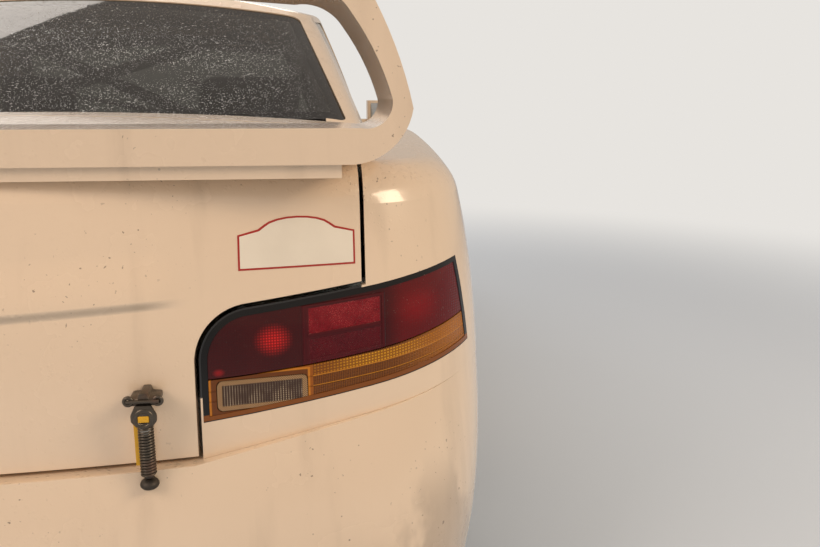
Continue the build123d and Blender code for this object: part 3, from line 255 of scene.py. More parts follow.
@dataclass(frozen=True)
class BodyPaint:
    """Glossy wet paint with water drops, road film low down and fine specks."""

    name: str = "body_paint"
    colour: Colour = srgb(234, 212, 186)
    grime: Colour = srgb(112, 92, 70)
    smear: Colour = srgb(120, 104, 88)
    speck: Colour = srgb(72, 52, 38)
    edging: Colour = srgb(16, 14, 14)
    film_heights: Pair = (0.52, 0.16)
    lid: bool = False

    def material(self) -> bpy.types.Material:
        """Build the paint."""
        g = Graph(self.name)
        film = g.times(g.spread(g.z, *self.film_heights), g.patches(11.0, 8, 0.34, 0.72))
        tone = self.dirtied(g, film)
        if not self.lid:
            tone = g.mix(self.lamp_edge(g), tone, self.edging)
        g.sockets(Base_Color=tone)
        if self.lid:
            self.crease(g)
        share = g.most(g.times(g.patches(2.6, 3, 0.36, 0.62), 0.25), g.upward())
        drops = g.most(g.times(g.drops(135.0, 0.55), share), g.times(g.drops(62.0, 0.30), share))
        g.raised(drops, 0.0011, 0.85)
        g.raised(g.noise(420.0, 1), 0.00005)
        rough = g.math("ADD", g.line(g.noise(7.0, 4), 0.12, 0.20), g.times(film, 0.30))
        g.sockets(Roughness=rough, Coat_Weight=0.9, Coat_Roughness=0.10)
        return g.material

    def dirtied(self, g: Graph, film: object) -> object:
        """Colour of the paint with its streaks, road film, smears and specks.

        Args:
            g: The paint's graph.
            film: Share of the road film.

        Returns:
            The colour.
        """
        tone = g.mix(g.patches(1.6, 2, 0.3, 0.7), self.colour, shade(self.colour, 0.955))
        runs = g.noise(1.0, 5, g.stretched((16, 16, 1.1)))
        tone = g.mix(g.spread(runs, 0.52, 0.80, 0.0, 0.16), tone, self.grime)
        tone = g.mix(g.times(film, 0.42), tone, self.grime)
        corner = g.times(g.spread(g.across, 0.56, 0.74), g.spread(g.x, -1.80, -2.02))
        wiped = g.spread(g.noise(7.5, 4, g.stretched((1, 1, 0.55))), 0.47, 0.56)
        smear = g.times(wiped, g.within(g.z, 0.20, 0.50, 0.06), corner, 0.42)
        tone = g.mix(smear, tone, self.smear)
        specks = g.times(g.patches(150.0, 2, 0.70, 0.735), g.patches(5.0, 5, 0.50, 0.62))
        flecks = g.times(g.spread(g.cells(34.0)[0], 0.07, 0.035), g.patches(3.1, 3, 0.55, 0.66))
        spots = g.math("MINIMUM", g.math("ADD", specks, flecks), 1.0)
        return g.mix(g.times(spots, 0.62), tone, self.speck)

    def crease(self, g: Graph) -> None:
        """Press the shallow crease across the boot lid."""
        rise = g.minus(g.z, g.line(g.across, 0.045, 0.781))
        step = g.minus(g.spread(rise, -0.007, 0.007), g.spread(rise, 0.007, 0.075))
        g.raised(g.times(step, g.spread(g.across, 0.40, 0.33)), 0.008)

    def lamp_edge(self, g: Graph) -> object:
        """Narrow black strip between the tail lamp and the boot lid's shut line."""
        rise = g.minus(g.z, g.line(g.across, 0.115, 0.600))
        beside = g.times(g.within(g.across, 0.380, 0.629, 0.001), g.spread(rise, 0.020, 0.022))
        return g.times(beside, g.spread(g.z, 0.872, 0.870), g.spread(g.x, -1.90, -1.93))


class LensKind(Enum):
    """Parts of the tail lamp, by the name of their material."""

    RED = "tail_red"
    AMBER = "tail_amber"
    CLEAR = "tail_clear"


@dataclass(frozen=True)
class LampLens:
    """Moulded lens of the tail lamp, with its ribs, grids and reflectors, and the light and shade painted on
    them.
    """

    kind: LensKind
    red_tone: Colour = srgb(140, 8, 14)
    grid: float = 0.0038

    def material(self) -> bpy.types.Material:
        """Build the lens for its kind."""
        g = Graph(self.kind.value)
        {LensKind.RED: self.red, LensKind.AMBER: self.amber, LensKind.CLEAR: self.clear}[self.kind](g)
        g.raised(g.drops(230.0, 0.30), 0.0005, 0.7)
        g.sockets(Roughness=0.14, Coat_Weight=0.35, Coat_Roughness=0.04, Specular_IOR_Level=0.25)
        return g.material

    def spot(self, g: Graph, place: Pair, reach: Pair) -> object:
        """Soft oval patch on the lens.

        Args:
            g: The lens's graph.
            place: Its middle, across and up.
            reach: How far it runs each way.

        Returns:
            One at its middle, falling to nothing at its reach.
        """
        over = g.math("DIVIDE", g.minus(g.across, place[0]), reach[0])
        up = g.math("DIVIDE", g.minus(g.z, place[1]), reach[1])
        return g.spread(g.reach(over, up), 1.0, 0.1)

    def red(self, g: Graph) -> None:
        """Dark red with a bulb's grid, two framed reflectors and plain ends. The bright patch behind the grid,
        the lighter ovals and the reflectors' glints are painted highlights, and the darker lower reflector is
        painted shade.
        """
        tone = g.mix(g.noise(14.0, 3), shade(self.red_tone, 0.10), shade(self.red_tone, 0.24))
        tone = g.mix(g.times(g.within(g.across, 0.675, 0.83, 0.02), 0.75), tone, shade(self.red_tone, 0.52))
        # Painted highlight: a soft lighter oval on the plain end.
        tone = g.mix(g.times(self.spot(g, (0.715, 0.765), (0.045, 0.035)), 0.40), tone, srgb(150, 10, 18))
        fine = g.times(g.waves(g.across, self.grid), g.waves(g.z, self.grid))
        # Painted highlight: the bright red patch on the bulb's bowl, behind the grid.
        glow = g.times(self.spot(g, (0.504, 0.739), (0.030, 0.026)), g.line(fine, 0.85, 0.25))
        tone = g.mix(glow, tone, srgb(232, 34, 32))
        # Painted highlight: a small bright oval.
        tone = g.mix(g.times(self.spot(g, (0.430, 0.700), (0.010, 0.007)), 0.8), tone, srgb(150, 16, 22))
        level = g.line(g.across, -0.09, g.math("ADD", g.z, 0.0540))
        panel = g.rectangle(g.across, level, (0.543, 0.662, 0.7000, 0.7880))
        upper = g.rectangle(g.across, level, (0.553, 0.655, 0.7475, 0.7830))
        lower = g.rectangle(g.across, level, (0.553, 0.655, 0.7050, 0.7400))
        # Painted glints: the sparkle of the reflector cells brightens their colour. The lower reflector is
        # painted shade, darker than the upper one.
        sparkle = g.spread(g.cells(640.0)[0], 0.60, 0.15)
        bright = g.times(sparkle, g.patches(38.0, 3, 0.40, 0.62))
        tone = g.mix(g.times(panel, 0.80), tone, srgb(78, 4, 12))
        tone = g.mix(upper, tone, g.mix(bright, srgb(126, 8, 24), srgb(196, 62, 66)))
        tone = g.mix(lower, tone, g.mix(g.times(bright, 0.6), srgb(88, 4, 18), srgb(132, 22, 34)))
        g.sockets(Base_Color=tone)
        pads = g.math("ADD", upper, lower)
        g.raised(g.times(fine, g.minus(1.0, panel)), 0.0005, 0.4)
        g.raised(g.times(sparkle, pads), 0.0012)
        g.raised(g.minus(panel, g.times(pads, 0.6)), 0.0022)

    def amber(self, g: Graph) -> None:
        """Amber with a gridded band brightened by painted light, ribbed bands and a stepped frame round the
        clear lens, with a painted highlight on the step's rim.
        """
        run = g.minus(g.across, 0.300)
        split = g.math("ADD", g.line(run, -0.008, 0.691), g.times(run, run, 0.183))
        below = g.minus(split, g.z)
        comb = g.most(g.waves(g.across, 0.0046), g.waves(below, 0.0041))
        # Painted light: the band from 0.600 to 0.715 across gets brighter colours, as if lit.
        painted_light = g.within(g.across, 0.600, 0.715, 0.035)
        high = g.mix(painted_light, srgb(176, 112, 14), srgb(226, 164, 30))
        bright = g.mix(comb, high, g.mix(painted_light, srgb(120, 66, 8), srgb(140, 84, 10)))
        ribs = g.mix(g.waves(g.across, 0.0026), srgb(84, 44, 8), srgb(132, 76, 14))
        tone = g.mix(g.within(below, 0.0015, 0.0165, 0.0006), ribs, bright)
        lines = g.most(g.within(below, 0.0168, 0.0182, 0.0005), g.within(below, 0.0310, 0.0324, 0.0005))
        tone = g.mix(lines, tone, srgb(208, 136, 34))
        tone = g.mix(g.times(g.spread(g.across, 0.66, 0.78), 0.55), tone, srgb(196, 122, 30))
        frame_box = g.rectangle(g.across, g.z, (0.30, 0.5570, 0.60, 0.7050))
        step = g.rectangle(g.across, g.z, (0.4190, 0.5500, 0.6400, 0.6940))
        tone = g.mix(frame_box, tone, g.mix(step, srgb(150, 84, 14), srgb(104, 56, 12)))
        # Painted highlight: the bright line round the step's rim.
        edge = g.minus(g.rectangle(g.across, g.z, (0.4160, 0.5530, 0.6370, 0.6970)), step)
        g.sockets(Base_Color=g.mix(g.most(edge, 0.0), tone, srgb(196, 122, 28)))
        g.raised(g.times(g.spread(comb, 0.9, 0.3), g.minus(1.0, frame_box)), 0.0008)
        g.raised(g.minus(lines, g.times(step, 0.8)), 0.0014)

    def clear(self, g: Graph) -> None:
        """Smoky clear lens with dotted flutes, whose bright dots are painted glints under uneven painted light,
        and a bright dotted rim.
        """
        field = g.rectangle(g.across, g.z, (0.4335, 0.5420, 0.6530, 0.6815))
        flutes = g.waves(g.across, 0.0036)
        dots = g.times(g.spread(flutes, 0.55, 0.95), g.line(g.waves(g.z, 0.0030), 0.7, 0.2))
        # Painted light: a noise share varies how bright the painted glints on the dots are.
        painted_light = g.spread(g.noise(44.0), 0.38, 0.66, 0.15, 0.9)
        tone = g.mix(g.times(dots, painted_light), srgb(66, 46, 36), srgb(206, 186, 156))
        beads = g.waves(g.math("ADD", g.across, g.z), 0.0030)
        rim = g.mix(beads, srgb(84, 58, 36), srgb(188, 152, 108))
        g.sockets(Base_Color=g.mix(field, rim, tone))
        g.raised(g.times(flutes, field), 0.0012)
        g.raised(field, -0.0015)


@dataclass(frozen=True)
class HeadlampBody:
    """Dark headlamp housing with two bright ribbed bowls."""

    name: str = "headlamp_body"
    bowls: tuple[Pair, ...] = ((0.500, 0.620), (0.640, 0.620))
    radius: float = 0.052
    bulb: float = 0.012
    rib: float = 0.009

    def material(self) -> bpy.types.Material:
        """Build the housing."""
        g = Graph(self.name)
        bright, ribs = 0.0, 0.0
        for place in self.bowls:
            reach = g.reach(g.minus(g.across, place[0]), g.minus(g.z, place[1]))
            bowl = g.spread(reach, self.radius, self.radius - 0.002)
            bright = g.most(g.minus(bowl, g.spread(reach, self.bulb, self.bulb - 0.002)), bright)
            ribs = g.most(g.times(g.waves(reach, self.rib), bowl), ribs)
        tone = g.mix(bright, srgb(24, 24, 25), srgb(214, 214, 210))
        g.sockets(Base_Color=tone, Metallic=bright, Roughness=g.line(bright, -0.25, 0.42))
        g.raised(ribs, 0.004)
        return g.material


@dataclass(frozen=True)
class LampBezel:
    """Dark bezel, whose lower edge looks like the lens that runs out over it."""

    name: str = "lamp_bezel"

    def material(self) -> bpy.types.Material:
        """Build the bezel."""
        g = Graph(self.name)
        run = g.minus(g.across, 0.408)
        base = g.math("ADD", g.line(run, 0.0845, 0.6330), g.times(run, run, 0.1373))
        rise = g.minus(g.z, base)
        strip = g.times(g.spread(rise, 0.0100, 0.0088), g.spread(rise, 0.0008, 0.0018))
        tone = g.mix(strip, srgb(14, 12, 12), srgb(128, 72, 18))
        g.sockets(Base_Color=tone, Roughness=0.22, Coat_Weight=0.3, Specular_IOR_Level=0.3)
        g.raised(g.noise(90.0), 0.0004, 0.4)
        return g.material


@dataclass(frozen=True)
class PrintedBorder:
    """Black printed border of a sloping window.

    Each edge is a straight inner edge as its share of the distance across, its share of the
    distance up the glass, and its distance from the foot of the glass.
    """

    base: Pair
    lean: float
    facing: int
    edges: tuple[tuple[float, float, float], ...]

    def share(self, g: Graph) -> object:
        """One outside the straight inner edges of the border."""
        lean = math.radians(self.lean)
        run = g.times(g.minus(g.x, self.base[0]), self.facing * math.cos(lean))
        up = g.math("ADD", run, g.times(g.minus(g.z, self.base[1]), math.sin(lean)))
        beyond = []
        for share_y, share_up, distance in self.edges:
            edge = g.math("ADD", g.times(g.across, share_y), g.times(up, share_up))
            beyond.append(g.spread(edge, distance - 0.0008, distance + 0.0008))
        return g.most(*beyond)


@dataclass(frozen=True)
class WindowGlass:
    """Tinted glass with rain drops, and a black border where it has one."""

    name: str
    tint: Colour
    border: PrintedBorder | None = None
    wet: float = 0.55

    def material(self) -> bpy.types.Material:
        """Build the glass."""
        g = Graph(self.name)
        g.sockets(Base_Color=self.tint, Roughness=0.02, Transmission_Weight=1.0, IOR=1.45)
        drops = g.most(g.drops(300.0, self.wet), g.drops(120.0, self.wet * 0.45))
        g.raised(g.times(drops, g.patches(6.0, 4, 0.30, 0.62)), 0.0007, 0.9)
        if self.border:
            border = self.border.share(g)
            tone = g.mix(border, self.tint, srgb(10, 10, 11))
            g.sockets(Base_Color=tone, Transmission_Weight=g.minus(1.0, border))
        return g.material


@dataclass(frozen=True)
class Moulding:
    """Moulded plastic with a fine leather-like grain and patches of dust."""

    name: str
    colour: Colour = srgb(30, 30, 31)
    rough: float = 0.55
    grain: float = 900.0
    dust: float = 0.25

    def material(self) -> bpy.types.Material:
        """Build the plastic."""
        g = Graph(self.name)
        film = g.times(g.patches(9.0, 7, 0.42, 0.75), self.dust)
        tone = g.mix(film, self.colour, srgb(128, 112, 92))
        g.sockets(Base_Color=tone, Roughness=g.line(film, 0.8, self.rough))
        g.raised(g.cells(self.grain)[0], 0.00018, 0.6)
        return g.material


@dataclass(frozen=True)
class Rubber:
    """Tyre rubber with fine grain and road dust."""

    name: str = "tyre_rubber"
    colour: Colour = srgb(32, 31, 31)

    def material(self) -> bpy.types.Material:
        """Build the rubber."""
        g = Graph(self.name)
        dust = g.times(g.patches(14.0, 8, 0.40, 0.78), 0.34)
        rough = g.line(g.patches(5.0, 3, 0.45, 0.62), -0.28, 0.82)
        g.sockets(Base_Color=g.mix(dust, self.colour, srgb(120, 106, 88)), Roughness=rough)
        g.raised(g.noise(260.0, 4), 0.0005, 0.6)
        return g.material


@dataclass(frozen=True)
class Metal:
    """Bare or painted metal with brushed scratches, dust, and rust or heat colour where given."""

    name: str
    colour: Colour
    metallic: float = 1.0
    rough: float = 0.35
    rust: float = 0.0
    heat: float = 0.0
    dirt: float = 0.2

    def material(self) -> bpy.types.Material:
        """Build the metal."""
        g = Graph(self.name)
        marks = g.noise(1.0, 6, g.stretched((18, 18, 240)))
        tone = g.mix(g.spread(marks, 0.3, 0.7), shade(self.colour, 0.86), self.colour)
        film = g.times(g.patches(12.0, 7, 0.45, 0.8), self.dirt)
        tone = g.mix(film, tone, srgb(96, 80, 64))
        shine = self.metallic
        if self.heat:
            tone = g.mix(g.spread(g.noise(3.0), 0.35, 0.65, 0.0, self.heat), tone, srgb(120, 92, 70))
        if self.rust:
            bloom = g.times(g.patches(22.0, 9, 0.52, 0.70), self.rust)
            tone = g.mix(bloom, tone, srgb(112, 58, 30))
            shine = g.line(bloom, -self.metallic, self.metallic)
        rough = g.math("ADD", g.line(marks, 0.14, self.rough - 0.07), g.times(film, 0.5))
        g.sockets(Base_Color=tone, Metallic=shine, Roughness=rough)
        g.raised(marks, 0.00008, 0.5)
        return g.material


@dataclass(frozen=True)
class WheelPaint:
    """White wheel paint, dusted with brake dust towards the hub."""

    name: str = "wheel_paint"
    colour: Colour = srgb(226, 222, 212)

    def material(self) -> bpy.types.Material:
        """Build the paint, with dust by distance from the nearest wheel's axis."""
        g = Graph(self.name)
        middle = (WHEEL_X["front"] + WHEEL_X["rear"]) / 2
        half = (WHEEL_X["front"] - WHEEL_X["rear"]) / 2
        along = g.minus(g.math("ABSOLUTE", g.minus(g.x, middle)), half)
        reach = g.reach(along, g.minus(g.z, TYRE_RADIUS))
        dust = g.times(g.spread(reach, 0.22, 0.06, 0.15, 0.75), g.patches(18.0, 8, 0.30, 0.72))
        tone = g.mix(dust, self.colour, srgb(92, 78, 64))
        g.sockets(Base_Color=tone, Roughness=g.line(dust, 0.4, 0.28), Coat_Weight=0.5)
        g.raised(g.noise(300.0), 0.00008)
        return g.material


@dataclass(frozen=True)
class Cloth:
    """Woven seat cloth or belt webbing."""

    name: str
    colour: Colour
    pitch: float = 0.0022
    wear: float = 0.2

    def material(self) -> bpy.types.Material:
        """Build the cloth."""
        g = Graph(self.name)
        warp = g.waves(g.math("ADD", g.y, g.times(g.x, 0.6)), self.pitch)
        weft = g.waves(g.math("ADD", g.z, g.times(g.x, 0.8)), self.pitch)
        weave = g.most(warp, weft)
        tone = g.mix(weave, shade(self.colour, 0.55), self.colour)
        worn = g.times(g.patches(16.0, 6, 0.45, 0.75), self.wear)
        tone = g.mix(worn, tone, tuple(min(1.0, part * 1.8 + 0.03) for part in self.colour))
        g.sockets(Base_Color=tone, Roughness=0.88, Sheen_Weight=0.35, Sheen_Roughness=0.4)
        g.raised(weave, 0.0006, 0.8)
        g.raised(g.noise(60.0, 4), 0.0012, 0.5)
        return g.material


@dataclass(frozen=True)
class CabinPaint:
    """Thin white paint inside the shell, with dust and boot marks."""

    name: str = "cabin_paint"
    colour: Colour = srgb(206, 200, 188)

    def material(self) -> bpy.types.Material:
        """Build the paint."""
        g = Graph(self.name)
        dust = g.patches(7.0, 8, 0.40, 0.74)
        tone = g.mix(g.times(dust, 0.42), self.colour, srgb(110, 96, 80))
        scuffs = g.spread(g.noise(1.0, 4, g.stretched((40, 8, 40))), 0.66, 0.70)
        tone = g.mix(g.times(scuffs, 0.5), tone, srgb(60, 56, 52))
        g.sockets(Base_Color=tone, Roughness=g.line(dust, 0.3, 0.40))
        g.raised(g.noise(120.0, 3), 0.0003, 0.5)
        return g.material


REAR_BORDER = PrintedBorder(
    base=(-1.4015, 1.040),
    lean=26.67,
    facing=1,
    edges=((0.0, -1.0, 0.012), (1.0, 0.185, 0.628), (0.0, 1.0, 0.588), (0.2705, -0.9627, 0.0810)),
)
FRONT_BORDER = PrintedBorder(
    base=(0.959, 0.950),
    lean=25.6,
    facing=-1,
    edges=((0.0, -1.0, 0.018), (1.0, 0.153, 0.640), (0.0, 1.0, 0.815)),
)


class Finish(Enum):
    """Every finish of the car, by name."""

    PAINT = BodyPaint()
    LID_PAINT = BodyPaint(name="lid_paint", lid=True)
    LAMP_RED = LampLens(LensKind.RED)
    LAMP_AMBER = LampLens(LensKind.AMBER)
    LAMP_CLEAR = LampLens(LensKind.CLEAR)
    REAR_GLASS = WindowGlass("rear_glass", srgb(92, 88, 84), REAR_BORDER)
    FRONT_GLASS = WindowGlass("front_glass", srgb(196, 206, 200), FRONT_BORDER)
    SIDE_GLASS = WindowGlass("side_glass", srgb(176, 184, 180))
    LAMP_GLASS = WindowGlass("lamp_glass", srgb(228, 230, 226), wet=0.35)
    TRIM = Moulding("black_trim")
    BEZEL = LampBezel()
    LAMP_BODY = HeadlampBody()
    LINER = Moulding("arch_liner", srgb(40, 38, 36), 0.8, 300.0, 0.7)
    RUBBER = Rubber()
    WHEEL = WheelPaint()
    DARK_STEEL = Metal("dark_steel", srgb(70, 68, 66), 0.8, 0.45, 0.45, 0.0, 0.5)
    LATCH_STEEL = Metal("latch_steel", srgb(96, 90, 82), 0.9, 0.34, 0.35, 0.0, 0.3)
    BRIGHT_STEEL = Metal("bright_steel", srgb(186, 182, 174), 1.0, 0.24, 0.06, 0.0, 0.15)
    EXHAUST = Metal("exhaust_steel", srgb(150, 144, 136), 1.0, 0.36, 0.25, 0.7, 0.35)
    ALLOY = Metal("plain_alloy", srgb(158, 158, 156), 1.0, 0.42, 0.0, 0.0, 0.5)
    CAGE = Metal("cage_paint", srgb(150, 150, 148), 0.0, 0.38, 0.0, 0.0, 0.25)
    CABIN = CabinPaint()
    SEAT_SHELL = Moulding("seat_shell", srgb(26, 26, 28), 0.4, 600.0, 0.15)
    SEAT_CLOTH = Cloth("seat_cloth", srgb(34, 34, 38))
    WEBBING = Cloth("belt_webbing", srgb(150, 28, 26), 0.0018, 0.1)
    YELLOW = Moulding("yellow_strip", srgb(222, 170, 32), 0.5, 800.0, 0.2)
    WHITE_PLATE = Moulding("white_film", srgb(236, 228, 212), 0.35, 1500.0, 0.1)
    RED_FILM = Moulding("red_film", srgb(170, 34, 28), 0.35, 1500.0, 0.1)
    LAMP_ORANGE = Moulding("orange_lamp", srgb(206, 112, 20), 0.2, 500.0, 0.1)
    DISC = Metal("brake_disc", srgb(150, 146, 140), 1.0, 0.30, 0.30, 0.25, 0.2)
    MIRROR = Metal("mirror_glass", srgb(206, 210, 212), 1.0, 0.06, 0.0, 0.0, 0.05)

    @property
    def made(self) -> bpy.types.Material:
        """The finish's material, made at its first use."""
        if self.name not in _made:
            _made[self.name] = self.value.material()
        return _made[self.name]


_made: dict[str, bpy.types.Material] = {}

NODE_FINISHES: dict[Finish, tuple[str, ...]] = {
    Finish.PAINT: (
        "door_left", "door_right", "body_sides", "roof_panel", "rear_deck", "bonnet", "scuttle_panel",
        "front_wings", "nose_panel", "rear_bumper", "front_bumper", "rear_wing", "mirror_left",
        "mirror_right",
    ),
    Finish.LID_PAINT: ("boot_lid",),
    Finish.LAMP_RED: ("tail_lenses_red",),
    Finish.LAMP_AMBER: ("tail_lenses_amber",),
    Finish.LAMP_CLEAR: ("tail_lenses_clear",),
    Finish.REAR_GLASS: ("rear_window",),
    Finish.FRONT_GLASS: ("windscreen",),
    Finish.SIDE_GLASS: ("quarter_windows", "door_glass_left", "door_glass_right"),
    Finish.LAMP_GLASS: ("headlamp_lenses",),
    Finish.BEZEL: ("tail_lamp_housings",),
    Finish.LAMP_BODY: ("headlamp_housings",),
    Finish.TRIM: ("grille", "dashboard", "steering_wheel"),
    Finish.LINER: ("wheel_arch_liners",),
    Finish.RUBBER: ("tyre_front_left", "tyre_front_right", "tyre_rear_left", "tyre_rear_right"),
    Finish.WHEEL: ("rim_front_left", "rim_front_right", "rim_rear_left", "rim_rear_right"),
    Finish.DARK_STEEL: ("front_frame", "engine", "knuckle_left", "knuckle_right", "rear_suspension"),
    Finish.LATCH_STEEL: ("boot_latches", "latch_feet"),
    Finish.EXHAUST: ("exhaust",),
    Finish.ALLOY: ("radiator", "sump_guard"),
    Finish.CAGE: ("roll_cage",),
    Finish.CABIN: ("floor_pan", "front_bulkhead", "boot_floor", "rear_bulkhead", "rear_panel"),
    Finish.SEAT_SHELL: ("seats",),
}


# Modelling helpers

def deselect() -> None:
    """Leave object mode with nothing selected or active."""
    if bpy.context.object and bpy.context.object.mode != "OBJECT":
        bpy.ops.object.mode_set(mode="OBJECT")
    bpy.ops.object.select_all(action="DESELECT")
    bpy.context.view_layer.objects.active = None


def activate(piece: Piece) -> None:
    """Make piece the only selected and the active object."""
    deselect()
    piece.select_set(True)
    bpy.context.view_layer.objects.active = piece


@contextmanager
def edited(piece: Piece) -> Iterator[None]:
    """Edit mode on one piece, with all of it selected."""
    activate(piece)
    bpy.ops.object.mode_set(mode="EDIT")
    bpy.ops.mesh.select_all(action="SELECT")
    yield
    bpy.ops.object.mode_set(mode="OBJECT")


def named(name: str) -> Piece:
    """Give the active object and its mesh a name.

    Args:
        name: Name of the piece.

    Returns:
        The active object.
    """
    piece = bpy.context.object
    piece.name = name
    piece.data.name = name
    return piece


def settle(piece: Piece, scale: Point | None = None) -> Piece:
    """Apply the place, turn and scale of a piece, so that its object sits at the origin.

    Args:
        piece: The piece.
        scale: A scale to give it first.

    Returns:
        The same piece.
    """
    if scale:
        piece.scale = scale
    activate(piece)
    bpy.ops.object.transform_apply(location=True, rotation=True, scale=True)
    return piece


def modified(piece: Piece, kind: str, **settings: object) -> Piece:
    """Give a piece a modifier and apply it.

    Args:
        piece: The piece.
        kind: The modifier's type.
        settings: Its settings.

    Returns:
        The same piece.
    """
    modifier = piece.modifiers.new(kind.lower(), kind)
    for key, value in settings.items():
        setattr(modifier, key, value)
    activate(piece)
    bpy.ops.object.modifier_apply(modifier=modifier.name)
    return piece


def rounded_edges(piece: Piece, width: float, segments: int = 2, angle: float = 35.0) -> Piece:
    """Bevel the sharp edges of a piece."""
    limit = math.radians(angle)
    return modified(piece, "BEVEL", width=width, segments=segments, limit_method="ANGLE", angle_limit=limit)


def dressed(piece: Piece, finish: Finish, body: str) -> Piece:
    """Give a finished piece its finish and its body.

    Args:
        piece: The finished mesh object.
        finish: Its finish.
        body: The CAD body it moves with.

    Returns:
        The same piece.
    """
    settle(piece)
    bpy.ops.object.shade_smooth_by_angle(angle=math.radians(40.0))
    piece.data.materials.clear()
    piece.data.materials.append(finish.made)
    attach(piece, body)
    log.info("%s: %d faces on %s", piece.name, len(piece.data.polygons), body)
    return piece


def block(name: str, centre: Point, size: Point, bevel: float) -> Piece:
    """Block with rounded edges.

    Args:
        name: Name of the piece.
        centre: Its centre.
        size: Its whole size.
        bevel: Radius of its edges.

    Returns:
        The block.
    """
    deselect()
    bpy.ops.mesh.primitive_cube_add(size=1, location=centre)
    return rounded_edges(settle(named(name), size), bevel, 3)


def grid(name: str, centre: Point, turn: Point, size: Pair, cuts: tuple[int, int]) -> Piece:
    """Flat sheet of small faces.

    Args:
        name: Name of the piece.
        centre: Its centre.
        turn: Its turn in radians.
        size: Its length and width.
        cuts: Faces along and across it.

    Returns:
        The sheet.
    """
    deselect()
    bpy.ops.mesh.primitive_grid_add(
        x_subdivisions=cuts[0], y_subdivisions=cuts[1], size=1, location=centre, rotation=turn
    )
    return settle(named(name), (*size, 1))


def turn_to(direction: Vector) -> Point:
    """Euler angles that turn the z axis to a direction."""
    return tuple(direction.to_track_quat("Z", "Y").to_euler())


def aim(direction: Vector) -> Point:
    """Euler angles that aim a camera or a lamp along a direction."""
    return tuple(direction.to_track_quat("-Z", "Y").to_euler())


def rod(name: str, start: Point, end: Point, radius: float, sides: int = 20, bevel: float = 0.0) -> Piece:
    """Round rod between two points.

    Args:
        name: Name of the piece.
        start: One end.
        end: The other end.
        radius: Radius of the rod.
        sides: Faces round it.
        bevel: Radius of its end edges.

    Returns:
        The rod.
    """
    deselect()
    start, end = Vector(start), Vector(end)
    run = end - start
    bpy.ops.mesh.primitive_cylinder_add(
        vertices=sides, radius=radius, depth=run.length, location=(start + end) / 2, rotation=turn_to(run)
    )
    piece = settle(named(name))
    return rounded_edges(piece, bevel) if bevel else piece


def ring(name: str, centre: Point, axis: Point, radius: float, wire: float, sides: int) -> Piece:
    """Ring of round wire.

    Args:
        name: Name of the piece.
        centre: Its centre.
        axis: Line that it runs about.
        radius: Radius to the wire's centre.
        wire: Radius of the wire.
        sides: Faces along it.

    Returns:
        The ring.
    """
    deselect()
    bpy.ops.mesh.primitive_torus_add(
        location=centre,
        rotation=turn_to(Vector(axis)),
        major_radius=radius,
        minor_radius=wire,
        major_segments=sides,
        minor_segments=10,
    )
    return named(name)


def coil(name: str, foot: Point, radius: float, wire: float, turns: int, pitch: float) -> Piece:
    """Upright coil spring, screwed from a small circle.

    Args:
        name: Name of the piece.
        foot: Centre of its lower end.
        radius: Radius to the wire's centre.
        wire: Radius of the wire.
        turns: Number of turns.
        pitch: Rise of each turn.

    Returns:
        The spring.
    """
    deselect()
    bpy.ops.mesh.primitive_circle_add(
        vertices=8, radius=wire, fill_type="NGON", location=(radius, 0, 0), rotation=(math.pi / 2, 0, 0)
    )
    piece = settle(named(name))
    modified(piece, "SCREW", steps=18, render_steps=18, iterations=turns, screw_offset=pitch)
    piece.location = foot
    return tidy_faces(settle(piece))


def tidy_faces(piece: Piece) -> Piece:
    """Merge doubles and turn every face of a piece outwards."""
    with edited(piece):
        bpy.ops.mesh.remove_doubles(threshold=0.00001)
        bpy.ops.mesh.normals_make_consistent(inside=False)
    return piece


def chain(name: str, points: list[Point]) -> Piece:
    """Run of edges through points, drawn by extruding one vertex.

    Args:
        name: Name of the piece.
        points: The points in order.

    Returns:
        The run of edges.
    """
    deselect()
    bpy.ops.mesh.primitive_plane_add(size=0.001, location=points[0])
    piece = settle(named(name))
    with edited(piece):
        bpy.ops.mesh.merge(type="CENTER")
        for last, point in zip(points, points[1:]):
            step = Vector(point) - Vector(last)
            bpy.ops.mesh.extrude_region_move(TRANSFORM_OT_translate={"value": step})
    return piece


def panel(name: str, points: list[Point]) -> Piece:
    """Flat face with an outline through points.

    Args:
        name: Name of the piece.
        points: Its corners in order.

    Returns:
        The face.
    """
    piece = tidy_faces(chain(name, [*points, points[0]]))
    with edited(piece):
        bpy.ops.mesh.edge_face_add()
    return piece


def plate(name: str, half: tuple[Pair, ...], place: Point, thickness: float, bevel: float) -> Piece:
    """Plate that faces the rear, the same on both sides of its middle.

    Args:
        name: Name of the piece.
        half: (offset across, height) points of one side of its outline, in order.
        place: Where the offsets start from, on its rear face.
        thickness: Its thickness towards the nose.
        bevel: Radius of its edges.

    Returns:
        The plate.
    """
    outline = [*half, *((-across, up) for across, up in reversed(half))]
    x, y, z = place
    piece = panel(name, [(x, y + across, z + up) for across, up in outline])
    with edited(piece):
        bpy.ops.mesh.extrude_region_move(TRANSFORM_OT_translate={"value": (thickness, 0, 0)})
    return rounded_edges(tidy_faces(piece), bevel, 2, 25)


def turned(name: str, profile: list[Pair], centre: Point, steps: int) -> Piece:
    """Piece turned about a line across the car.

    Args:
        name: Name of the piece.
        profile: (radius, distance along y) points of its section, which closes on itself.
        centre: Centre of the turn.
        steps: Faces round it.

    Returns:
        The turned piece.
    """
    points = [(centre[0], centre[1] + across, centre[2] + radius) for radius, across in profile]
    piece = chain(name, [*points, points[0]])
    with edited(piece):
        bpy.ops.mesh.remove_doubles(threshold=0.00001)
        bpy.ops.mesh.select_all(action="SELECT")
        bpy.ops.mesh.spin(steps=steps, angle=2 * math.pi, center=centre, axis=(0, 1, 0))
    return tidy_faces(piece)


